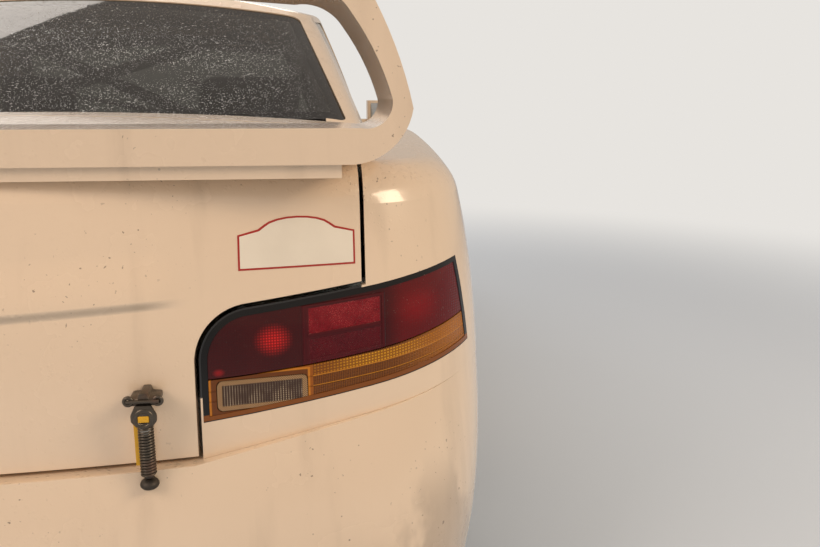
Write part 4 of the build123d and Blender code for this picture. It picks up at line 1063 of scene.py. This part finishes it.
def drape(piece: Piece, node: str, stand: float, outward: Point = (-1, 0, 0)) -> Piece:
    """Lay a thin sheet on a CAD node's surface and give it a thickness.

    Args:
        piece: A flat sheet off the surface.
        node: The CAD node.
        stand: How far the sheet stands proud.
        outward: The axis that it is laid along, as a direction out of the car.

    Returns:
        The same piece.
    """
    along = "xyz"[max(range(3), key=lambda axis: abs(outward[axis]))]
    facing = sum((face.normal * face.area for face in piece.data.polygons), Vector())
    if facing.dot(Vector(outward)) < 0:
        with edited(piece):
            bpy.ops.mesh.flip_normals()
    modified(
        piece,
        "SHRINKWRAP",
        target=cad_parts[node],
        wrap_method="PROJECT",
        use_negative_direction=True,
        use_positive_direction=True,
        project_limit=LAY_REACH,
        **{f"use_project_{along}": True},
    )
    return modified(piece, "SOLIDIFY", thickness=stand, offset=1.0)


def joined(name: str, pieces: list[Piece]) -> Piece:
    """Join pieces of one finish into one object.

    Args:
        name: Name of the result.
        pieces: Pieces to join.

    Returns:
        The joined piece.
    """
    activate(pieces[0])
    for piece in pieces[1:]:
        piece.select_set(True)
    bpy.ops.object.join()
    return named(name)


# Sub-assemblies

@dataclass
class SpringLatch:
    """Spring latch between the boot lid and the bumper, on one side."""

    side: Side
    across: float = 0.339
    shank_x: float = -2.134
    head: float = 0.683
    bracket: tuple[Pair, ...] = ((0.019, -0.006), (0.019, 0.003), (0.007, 0.004), (0.005, 0.011))
    hook: tuple[Pair, ...] = ((0.010, -0.004), (0.0165, -0.017), (0.0165, -0.026), (0.010, -0.034))
    coil_foot: float = 0.580
    coil_radius: float = 0.0086
    wire: float = 0.0019
    turns: int = 19
    pitch: float = 0.0040
    foot_size: Point = (0.0130, 0.0125, 0.0080)
    foot_height: float = 0.5665

    def at(self, back: float, aside: float, height: float) -> Point:
        """Point on the latch by its distance forward, aside and above the ground."""
        return (self.shank_x + back, self.across * self.side.value + aside, height)

    def build(self) -> list[Piece]:
        """Make the spring, bracket, hook, strip, collar and core.

        Returns:
            The pieces that stand for the CAD latch.
        """
        head = self.head
        foot = self.at(0, 0, self.coil_foot)
        spring = coil("spring", foot, self.coil_radius, self.wire, self.turns, self.pitch)
        self.fixed("spring", [spring], Finish.LATCH_STEEL)
        bar = plate("bar", self.bracket, self.at(-0.004, 0, head), 0.036, 0.0016)
        level = head + 0.001
        ears = [
            ring("ear", self.at(-0.004, aside, level), (1, 0, 0), 0.0050, 0.0026, 28)
            for aside in (-0.0185, 0.0185)
        ]
        ends = (self.at(-0.0065, -0.021, level), self.at(-0.0065, 0.021, level))
        pin = rod("pin", *ends, 0.0024, 12)
        bracket = self.fixed("bracket", [bar, *ears, pin], Finish.LATCH_STEEL)
        hook = plate("hook", self.hook, self.at(-0.0085, 0, head), 0.0055, 0.0018)
        eye = ring("eye", self.at(-0.0080, 0, head - 0.022), (1, 0, 0), 0.0105, 0.0030, 36)
        settle(eye, (1.0, 1.05, 0.78))
        self.fixed("hook", [hook, eye], Finish.LATCH_STEEL)
        slot_fill = block("slot", self.at(-0.0080, 0, head - 0.0225), (0.0036, 0.014, 0.0085), 0.001)
        beside = self.at(0.012, -0.0135 * self.side.value, 0.618)
        strip = block("strip", beside, (0.003, 0.0085, 0.060), 0.001)
        self.fixed("strip", [slot_fill, strip], Finish.YELLOW)
        ends = (self.at(-0.001, 0, head - 0.044), self.at(-0.001, 0, head - 0.033))
        collar = rod("collar", *ends, 0.0085, 24, 0.0015)
        self.fixed("collar", [collar], Finish.BRIGHT_STEEL)
        ends = (self.at(0, 0, self.coil_foot - 0.004), self.at(0, 0, head - 0.030))
        core = rod("core", *ends, 0.0062, 20, 0.001)
        return [bracket, self.fixed("core", [core], Finish.DARK_STEEL)]

    def fixed(self, name: str, pieces: list[Piece], finish: Finish) -> Piece:
        """Join pieces of the latch, and dress them on the boot lid."""
        return dressed(joined(f"latch_{name}_{self.side.word}", pieces), finish, "boot_lid")

    def foot(self) -> Piece:
        """Make the cup that the spring's foot sits over.

        Returns:
            The piece that stands for the CAD foot.
        """
        deselect()
        place = self.at(0.001, 0, self.foot_height)
        bpy.ops.mesh.primitive_uv_sphere_add(segments=28, ring_count=14, radius=1, location=place)
        cup = settle(named("cup"), self.foot_size)
        seat = rod("seat", place, self.at(0.020, 0, self.foot_height), 0.008, 20, 0.001)
        piece = joined(f"latch_foot_{self.side.word}", [cup, seat])
        return dressed(piece, Finish.DARK_STEEL, "car_body")


def build_latches() -> None:
    """Make both latches and let them stand for the CAD ones."""
    moving, feet = [], []
    for side in Side:
        latch = SpringLatch(side)
        moving += latch.build()
        feet.append(latch.foot())
    for piece in moving:
        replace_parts(piece, "boot_latches")
    for piece in feet:
        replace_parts(piece, "latch_feet")


@dataclass
class DoorFittings:
    """Mirror glass, pull handle and lock of one door."""

    side: Side
    mirror: Point = (0.6095, 0.911, 1.005)
    mirror_size: Pair = (0.086, 0.118)
    mirror_turn: float = 0.10
    handle: Pair = (-0.315, 0.775)
    handle_size: Pair = (0.125, 0.030)
    lock_x: float = -0.400
    lock_ends: Pair = (0.828, 0.842)

    def build(self) -> None:
        """Make the fittings and fix them to the door."""
        word, sign = self.side.word, self.side.value
        x, y, z = self.mirror
        turn = (0, -math.pi / 2, -self.mirror_turn * sign)
        glass = grid(f"mirror_glass_{word}", (x, y * sign, z), turn, self.mirror_size, (4, 4))
        modified(glass, "SOLIDIFY", thickness=0.004, offset=0)
        dressed(rounded_edges(glass, 0.0015), Finish.MIRROR, f"door_{word}")
        self.flap("handle_recess", (1.16, 1.5), 0.0012, Finish.TRIM)
        self.flap("handle_pull", (1.0, 1.0), 0.0070, Finish.PAINT)
        ends = [(self.lock_x, end * sign, self.handle[1]) for end in self.lock_ends]
        lock = rod(f"door_lock_{word}", *ends, 0.010, 24, 0.001)
        dressed(lock, Finish.BRIGHT_STEEL, f"door_{word}")

    def flap(self, name: str, share: Pair, stand: float, finish: Finish) -> None:
        """Lay one rounded sheet of the handle on the door.

        Args:
            name: Its name, without the side.
            share: Its length and height as shares of the handle's.
            stand: How far it stands proud.
            finish: Its finish.
        """
        sign = self.side.value
        centre = (self.handle[0], BESIDE_Y * sign, self.handle[1])
        size = (self.handle_size[0] * share[0], self.handle_size[1] * share[1])
        piece = grid(f"{name}_{self.side.word}", centre, (math.pi / 2, 0, 0), size, (10, 4))
        drape(piece, f"door_{self.side.word}", stand, (0, sign, 0))
        rounded_edges(piece, min(0.003, stand * 0.45), 2, 50)
        dressed(piece, finish, f"door_{self.side.word}")


@dataclass
class Wiper:
    """Windscreen wiper: a blade and its arm, laid on the glass."""

    name: str
    spindle: Pair
    tip: Pair
    blade: Point = (0.46, 0.009, 0.013)
    arm: Pair = (0.014, 0.017)
    blade_turn: float = 0.10

    def build(self) -> None:
        """Make the blade and the arm."""
        along = Vector((self.tip[0] - self.spindle[0], self.tip[1] - self.spindle[1], 0))
        turn = math.atan2(along.y, along.x)
        self.strip("wiper_blade", along * 0.56, turn + self.blade_turn, self.blade)
        self.strip("wiper_arm", along * 0.30, turn, (along.length * 0.60, *self.arm))

    def strip(self, name: str, offset: Vector, turn: float, size: Point) -> None:
        """Lay a strip on the windscreen from above.

        Args:
            name: Its name, without the wiper's.
            offset: Its middle, from the spindle.
            turn: Its turn about the vertical.
            size: Its length, width and how far it stands proud.
        """
        middle = Vector((*self.spindle, ABOVE_Z)) + offset
        piece = grid(f"{name}_{self.name}", middle, (0, 0, turn), size[:2], (24, 3))
        drape(piece, "windscreen", size[2], (0, 0, 1))
        dressed(rounded_edges(piece, 0.002, 2, 50), Finish.TRIM, "car_body")


@dataclass
class RoundFitting:
    """Round flap, pin plate or small lamp laid on a panel."""

    name: str
    node: str
    body: str
    place: Point
    radius: float
    outward: Point
    finish: Finish
    stand: float
    rim: float

    def build(self) -> None:
        """Make the disc, and a dark ring under it."""
        self.disc(f"{self.name}_joint", self.radius + self.rim, self.stand * 0.5, Finish.TRIM)
        self.disc(self.name, self.radius, self.stand, self.finish)

    def disc(self, name: str, radius: float, stand: float, finish: Finish) -> None:
        """Lay one disc on the panel.

        Args:
            name: Name of the piece.
            radius: Its radius.
            stand: How far it stands proud.
            finish: Its finish.
        """
        deselect()
        turn = turn_to(Vector(self.outward))
        bpy.ops.mesh.primitive_circle_add(
            vertices=40, radius=radius, fill_type="TRIFAN", location=self.place, rotation=turn
        )
        piece = settle(named(name))
        with edited(piece):
            bpy.ops.mesh.subdivide(number_cuts=1)
        drape(piece, self.node, stand, self.outward)
        dressed(rounded_edges(piece, stand * 0.4, 2, 50), finish, self.body)


@dataclass
class BrakeDisc:
    """Vented brake disc behind one wheel's spokes."""

    axle: str
    side: Side
    outer: float = 0.146
    inner: float = 0.062
    face: float = 0.776
    wall: float = 0.020
    plate: float = 0.007
    chamfer: float = 0.002
    bell: Pair = (0.016, 0.004)

    def build(self) -> None:
        """Turn the disc, with a vent round its edge and a bell at its middle."""
        inner, outer, edge = self.inner, self.outer, self.outer - self.chamfer
        vent = outer - 0.006
        bell, rise = inner + self.bell[0], self.bell[1]
        section = [(inner, rise), (bell, rise), (bell + 0.002, 0), (edge, 0), (outer, -self.chamfer)]
        section += [(outer, -self.plate), (vent, -self.plate), (vent, self.plate - self.wall)]
        section += [(outer, self.plate - self.wall), (outer, self.chamfer - self.wall)]
        section += [(edge, -self.wall), (inner, -self.wall)]
        profile = [(radius, (self.face + depth) * self.side.value) for radius, depth in section]
        name = f"{self.axle}_{self.side.word}"
        disc = turned(f"brake_disc_{name}", profile, (WHEEL_X[self.axle], 0, TYRE_RADIUS), 72)
        dressed(disc, Finish.DISC, f"wheel_{name}")


@dataclass
class SeatPads:
    """Seat cushion, back pad and head pad of one bucket seat, with shoulder belts."""

    side: Side
    across: float = 0.365
    crown: float = 0.28
    seam_width: float = 0.008
    seam_depth: float = 0.006
    belt: Point = (0.0035, 0.058, 0.440)
    belt_place: Pair = (-0.166, 0.700)
    belt_apart: float = 0.075
    back_lean: float = -14.0

    def build(self) -> None:
        """Make the pads and the belts."""
        word, y = self.side.word, self.across * self.side.value
        for name, centre, size, lean in (
            ("seat_cushion", (0.045, y, 0.352), (0.300, 0.330, 0.070), 4.0),
            ("seat_back_pad", (-0.195, y, 0.690), (0.060, 0.310, 0.480), self.back_lean),
            ("seat_head_pad", (-0.268, y, 1.030), (0.050, 0.240, 0.150), -10.0),
        ):
            piece = self.pad(f"{name}_{word}", centre, size, lean)
            dressed(piece, Finish.SEAT_CLOTH, "car_body")
        x, z = self.belt_place
        for place, step in (("in", -1), ("out", 1)):
            centre = (x, y + step * self.belt_apart, z)
            belt = block(f"shoulder_belt_{word}_{place}", centre, self.belt, 0.0012)
            self.lean(belt, (x, y, z), self.back_lean)
            dressed(belt, Finish.WEBBING, "car_body")

    def pad(self, name: str, centre: Point, size: Point, lean: float) -> Piece:
        """Crowned pad with a sewn seam along its middle.

        Args:
            name: Name of the piece.
            centre: Its centre.
            size: Its whole size.
            lean: Backward lean in degrees.

        Returns:
            The pad.
        """
        deselect()
        bpy.ops.mesh.primitive_cube_add(size=1, location=centre)
        piece = settle(named(name), size)
        with edited(piece):
            bpy.ops.mesh.subdivide(number_cuts=5)
        rise = min(range(3), key=lambda axis: size[axis])
        for vertex in piece.data.vertices:
            step = vertex.co[rise] - centre[rise]
            if abs(step) > 1e-6:
                share = [abs(vertex.co[axis] - centre[axis]) / (size[axis] / 2) for axis in range(3)]
                edge = max(share[axis] for axis in range(3) if axis != rise)
                crown = (1 - edge**2) * self.crown * size[rise]
                seam = math.exp(-((vertex.co[1] - centre[1]) / self.seam_width) ** 2) * self.seam_depth
                vertex.co[rise] += math.copysign(1, step) * (crown - seam)
        modified(piece, "SUBSURF", levels=2, render_levels=2)
        self.lean(piece, centre, lean)
        return piece

    def lean(self, piece: Piece, centre: Point, degrees: float) -> None:
        """Lean a piece about a line across the car through its centre."""
        turn = Matrix.Rotation(math.radians(degrees), 4, "Y")
        piece.data.transform(Matrix.Translation(centre) @ turn @ Matrix.Translation(-Vector(centre)))


@dataclass
class TowLoop:
    """Towing loop under a bumper."""

    name: str
    place: Point
    radius: float = 0.024
    wire: float = 0.0065
    shank: float = 0.008
    shank_end: float = 0.100

    def build(self) -> None:
        """Make the loop and its shank."""
        x, y, z = self.place
        way = -1 if x > 0 else 1
        loop = ring("loop", self.place, (0, 1, 0), self.radius, self.wire, 36)
        shank = rod("shank", (x + way * self.radius, y, z), (x + way * self.shank_end, y, z), self.shank)
        dressed(joined(self.name, [loop, shank]), Finish.RED_FILM, "car_body")


@dataclass
class Tyre:
    """Road tyre with a blocked tread, which stands for the plain CAD tyre."""

    axle: str
    side: Side
    base: float = 0.3125
    pitches: int = 72
    rows: int = 8
    groove: float = 0.0022
    depth: float = 0.0055
    shoulder: float = 0.025
    well: float = 0.045
    wall: tuple[Pair, ...] = (
        (0.230, 0.020), (0.239, 0.012), (0.262, 0.004), (0.282, 0.001), (0.298, 0.006), (0.3075, 0.016)
    )

    def centre(self) -> Point:
        """Centre of the wheel."""
        return (WHEEL_X[self.axle], WHEEL_Y * self.side.value, TYRE_RADIUS)

    def build(self) -> None:
        """Turn the carcass, raise the tread blocks and dress it."""
        half = TYRE_WIDTH / 2
        walls = [(radius, half - inset) for radius, inset in self.wall]
        pitch = (TYRE_WIDTH - 2 * self.shoulder) / self.rows
        tread = [(self.base, half - self.shoulder - step * pitch) for step in range(self.rows + 1)]
        inner = [(radius, -across) for radius, across in reversed(walls)]
        bed = [(RIM_RADIUS + 0.001, across) for across in (self.well - half, half - self.well)]
        name = f"{self.axle}_{self.side.word}"
        piece = turned(f"treaded_tyre_{name}", walls + tread + inner + bed, self.centre(), self.pitches)
        self.raise_blocks(piece)
        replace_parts(dressed(piece, Finish.RUBBER, f"wheel_{name}"), f"tyre_{name}")

    def raise_blocks(self, piece: Piece) -> None:
        """Raise each face of the tread as its own block."""
        x, y, z = self.centre()
        with edited(piece):
            mesh = bmesh.from_edit_mesh(piece.data)
            for face in mesh.faces:
                middle = face.calc_center_median()
                outside = math.hypot(middle.x - x, middle.z - z) > self.base - 0.002
                face.select_set(outside and abs(middle.y - y) < TYRE_WIDTH / 2 - self.shoulder - 0.001)
            bmesh.update_edit_mesh(piece.data)
            bpy.ops.mesh.inset(thickness=self.groove, depth=self.depth, use_individual=True)


@dataclass
class HubFittings:
    """Nuts of one wheel."""

    axle: str
    side: Side
    nuts: int = 5
    circle: float = 0.050
    face: float = 0.060
    nut_radius: float = 0.0095
    nut_ends: Pair = (-0.01, 0.014)

    def build(self) -> None:
        """Make the nuts round the hub."""
        sign = self.side.value
        name = f"{self.axle}_{self.side.word}"
        rim_low, rim_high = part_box(f"rim_{name}")
        face = (rim_high.y if sign > 0 else rim_low.y) - sign * self.face
        nuts = []
        for step in range(self.nuts):
            angle = 2 * math.pi * step / self.nuts
            x = WHEEL_X[self.axle] + self.circle * math.cos(angle)
            z = TYRE_RADIUS + self.circle * math.sin(angle)
            ends = [(x, face + sign * end, z) for end in self.nut_ends]
            nuts.append(rod(f"nut_{step}", *ends, self.nut_radius, 6, 0.0012))
        dressed(joined(f"wheel_nuts_{name}", nuts), Finish.BRIGHT_STEEL, f"wheel_{name}")


@dataclass
class PlainPlate:
    """Bare white film with a red edge on the boot lid."""

    centre: Pair = (-0.5405, 0.8635)
    width: float = 0.160
    height: float = 0.054
    arch: float = 0.016
    edge: float = 0.0026

    def outline(self, shrink: float) -> list[Point]:
        """Points of the film's edge on a plane behind the car.

        Args:
            shrink: How far inside the outer edge.

        Returns:
            The points in order.
        """
        half, low, high = self.width / 2 - shrink, shrink - self.height / 2, self.height / 2 - shrink
        points = [(-half, low), (half, low), (half, high * 0.75), (half * 0.66, high)]
        for step in range(9):
            angle = math.radians(20 + step * 17.5)
            points.append((half * 0.60 * math.cos(angle), high + self.arch * math.sin(angle)))
        points += [(-half * 0.66, high), (-half, high * 0.75)]
        return [(BEHIND_X, self.centre[0] + y, self.centre[1] + z) for y, z in points]

    def build(self) -> None:
        """Make the red edge and the white field on the lid."""
        self.film("plate_edge", 0.0, 0.0005, Finish.RED_FILM)
        self.film("plate_field", self.edge, 0.0008, Finish.WHITE_PLATE)

    def film(self, name: str, shrink: float, stand: float, finish: Finish) -> None:
        """Lay one film of the plate on the lid.

        Args:
            name: Name of the piece.
            shrink: How far inside the outer edge.
            stand: How far it stands proud.
            finish: Its finish.
        """
        y, z = self.centre
        piece = panel(name, self.outline(shrink))
        with edited(piece):
            for place, axis in ((y - 0.04, (0, 1, 0)), (y, (0, 1, 0)), (y + 0.04, (0, 1, 0)), (z, (0, 0, 1))):
                bpy.ops.mesh.select_all(action="SELECT")
                bpy.ops.mesh.bisect(plane_co=Vector(axis) * place, plane_no=axis)
        dressed(drape(piece, "boot_lid", stand), finish, "boot_lid")


@dataclass
class ReflectorFrame:
    """Thin raised frame round the two reflectors of one tail lamp."""

    side: Side
    corners: tuple[Pair, ...] = ((0.545, 0.7040), (0.660, 0.7170), (0.660, 0.7920), (0.545, 0.7830))
    wire: float = 0.0026
    bar: tuple[Pair, ...] = ((0.551, 0.7395), (0.655, 0.7475), (0.655, 0.7520), (0.551, 0.7440))

    def build(self) -> None:
        """Lay the frame and its middle bar on the red lens."""
        sheets = [self.sheet("frame", self.corners, True), self.sheet("bar", self.bar, False)]
        piece = joined(f"reflector_frame_{self.side.word}", sheets)
        dressed(piece, Finish.LAMP_RED, "car_body")

    def sheet(self, name: str, corners: tuple[Pair, ...], open_middle: bool) -> Piece:
        """Flat four-sided sheet laid on the lens.

        Args:
            name: Name of the piece.
            corners: Its corners as (across, up).
            open_middle: Whether only its border is kept.

        Returns:
            The sheet with its thickness.
        """
        piece = panel(name, [(BEHIND_X, across * self.side.value, up) for across, up in corners])
        with edited(piece):
            if open_middle:
                bpy.ops.mesh.inset(thickness=self.wire, depth=0)
                bpy.ops.mesh.delete(type="FACE")
                bpy.ops.mesh.select_all(action="SELECT")
            bpy.ops.mesh.subdivide(number_cuts=5)
        return drape(piece, "tail_lenses_red", 0.0010)


def round_fittings() -> list[RoundFitting]:
    """Fuel flap, bonnet pins and side lamps."""
    out, up = (0, -1, 0), (0, 0, 1)
    steel, orange = Finish.BRIGHT_STEEL, Finish.LAMP_ORANGE
    filler = (-1.52, -0.95, 0.80)
    fittings = [
        RoundFitting("fuel_flap", "body_sides", "car_body", filler, 0.072, out, Finish.PAINT, 0.002, 0.003)
    ]
    for side in Side:
        pin = (1.90, 0.44 * side.value, 1.2)
        name = f"bonnet_pin_{side.word}"
        fittings.append(RoundFitting(name, "bonnet", "bonnet", pin, 0.018, up, steel, 0.004, 0.004))
    for side in Side:
        lamp, aside = (0.93, 0.95 * side.value, 0.66), (0, side.value, 0)
        name = f"side_lamp_{side.word}"
        fittings.append(RoundFitting(name, "front_wings", "car_body", lamp, 0.020, aside, orange, 0.006, 0.003))
    return fittings


# Stage

@dataclass
class Studio:
    """Camera, floor and lamps."""

    camera_place: Point = (-3.141, -0.558, 1.063)
    yaw: float = 7.248
    pitch: float = 12.3
    lens: float = 35.0
    film_width: float = 36.0
    floor_size: float = 60.0
    floor_fade: Pair = (2.6, 5.6)
    soft_light: Colour = (1.0, 0.88, 0.77)
    soft_strength: float = 0.50

    def build(self) -> None:
        """Set the stage for the photograph's view."""
        self.camera()
        self.floor()
        self.lamps()
        self.world()
        bpy.context.scene.view_settings.view_transform = "Standard"

    def camera(self) -> None:
        """Place the camera where the photograph was taken."""
        deselect()
        turn, tilt = math.radians(self.yaw), math.radians(self.pitch)
        forward = Vector((math.cos(turn) * math.cos(tilt), -math.sin(turn) * math.cos(tilt), -math.sin(tilt)))
        bpy.ops.object.camera_add(location=self.camera_place, rotation=aim(forward))
        camera = bpy.context.object
        camera.name = "photo_camera"
        camera.data.lens = self.lens
        camera.data.sensor_width = self.film_width
        bpy.context.scene.camera = camera

    def floor(self) -> None:
        """Lay a wide pale floor, which fades to the backdrop's colour away from the car."""
        deselect()
        bpy.ops.mesh.primitive_plane_add(size=self.floor_size, location=(0, 0, 0))
        floor = named("studio_floor")
        g = Graph("studio_floor")
        g.sockets(Base_Color=srgb(208, 220, 234), Roughness=0.8)
        g.raised(g.noise(40.0, 3), 0.0004)
        paths = g.node("LightPath").outputs
        seen = g.most(paths["Is Camera Ray"], paths["Is Transmission Ray"])
        share = g.times(seen, g.spread(g.reach(g.x, g.y), *self.floor_fade))
        glow = g.node("Emission", {0: BACKDROP, 1: 1.0}).outputs[0]
        blend = g.node("MixShader", {0: share, 1: g.shader.outputs[0], 2: glow})
        out = next(node for node in g.tree.nodes if node.type == "OUTPUT_MATERIAL")
        g.put(out.inputs[0], blend.outputs[0])
        floor.data.materials.append(g.material)

    def lamps(self) -> None:
        """Hang three soft lamps."""
        for name, place, target, size, power, tint in (
            ("key_lamp", (-4.6, 3.0, 3.6), (-1.6, 0.0, 0.8), 2.6, 108, (1.0, 0.80, 0.66)),
            ("side_lamp", (-3.4, -3.8, 2.8), (-1.4, -0.4, 0.8), 1.4, 66, (1.0, 0.78, 0.56)),
            ("front_lamp", (5.4, 1.2, 4.6), (0.6, 0.0, 0.6), 4.5, 170, (1.0, 0.92, 0.84)),
        ):
            deselect()
            run = Vector(target) - Vector(place)
            bpy.ops.object.light_add(type="AREA", location=place, rotation=aim(run))
            lamp = bpy.context.object
            lamp.name = name
            lamp.data.size = size
            lamp.data.energy = power
            lamp.data.color = tint
            lamp.visible_camera = False
            lamp.visible_transmission = False

    def world(self) -> None:
        """Light softly all round, and show a pale backdrop to the camera and through glass."""
        world = bpy.data.worlds.new("studio_world")
        bpy.context.scene.world = world
        world.use_nodes = True
        tree = world.node_tree
        tree.nodes.clear()
        either = tree.nodes.new("ShaderNodeMath")
        either.operation = "MAXIMUM"
        paths = tree.nodes.new("ShaderNodeLightPath")
        for number, ray in enumerate(("Is Camera Ray", "Is Transmission Ray")):
            tree.links.new(paths.outputs[ray], either.inputs[number])
        blend = tree.nodes.new("ShaderNodeMixShader")
        tree.links.new(either.outputs[0], blend.inputs[0])
        for number, (colour, strength) in enumerate(((self.soft_light, self.soft_strength), (BACKDROP, 1.0))):
            light = tree.nodes.new("ShaderNodeBackground")
            light.inputs[0].default_value = (*colour, 1)
            light.inputs[1].default_value = strength
            tree.links.new(light.outputs[0], blend.inputs[number + 1])
        out = tree.nodes.new("ShaderNodeOutputWorld")
        tree.links.new(blend.outputs[0], out.inputs[0])


def dress_nodes() -> None:
    """Give every CAD node its finish."""
    for finish, nodes in NODE_FINISHES.items():
        for node in nodes:
            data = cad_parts[node].data
            data.materials.clear()
            data.materials.append(finish.made)
            log.info("%s: %s", node, finish.name.lower())


def main() -> None:
    """Build the car's looks and the stage."""
    logging.basicConfig(level=logging.INFO, format="%(message)s")
    Studio().build()
    dress_nodes()
    for side in Side:
        ReflectorFrame(side).build()
        for axle in WHEEL_X:
            Tyre(axle, side).build()
            HubFittings(axle, side).build()
            BrakeDisc(axle, side).build()
        DoorFittings(side).build()
        SeatPads(side).build()
    build_latches()
    PlainPlate().build()
    Wiper("driver", (0.868, 0.10), (0.62, 0.50)).build()
    Wiper("passenger", (0.795, -0.42), (0.59, -0.06)).build()
    for fitting in round_fittings():
        fitting.build()
    TowLoop("tow_loop_rear", (-2.125, 0.36, 0.185)).build()
    TowLoop("tow_loop_front", (2.10, -0.36, 0.135)).build()


if __name__ == "__main__":
    main()
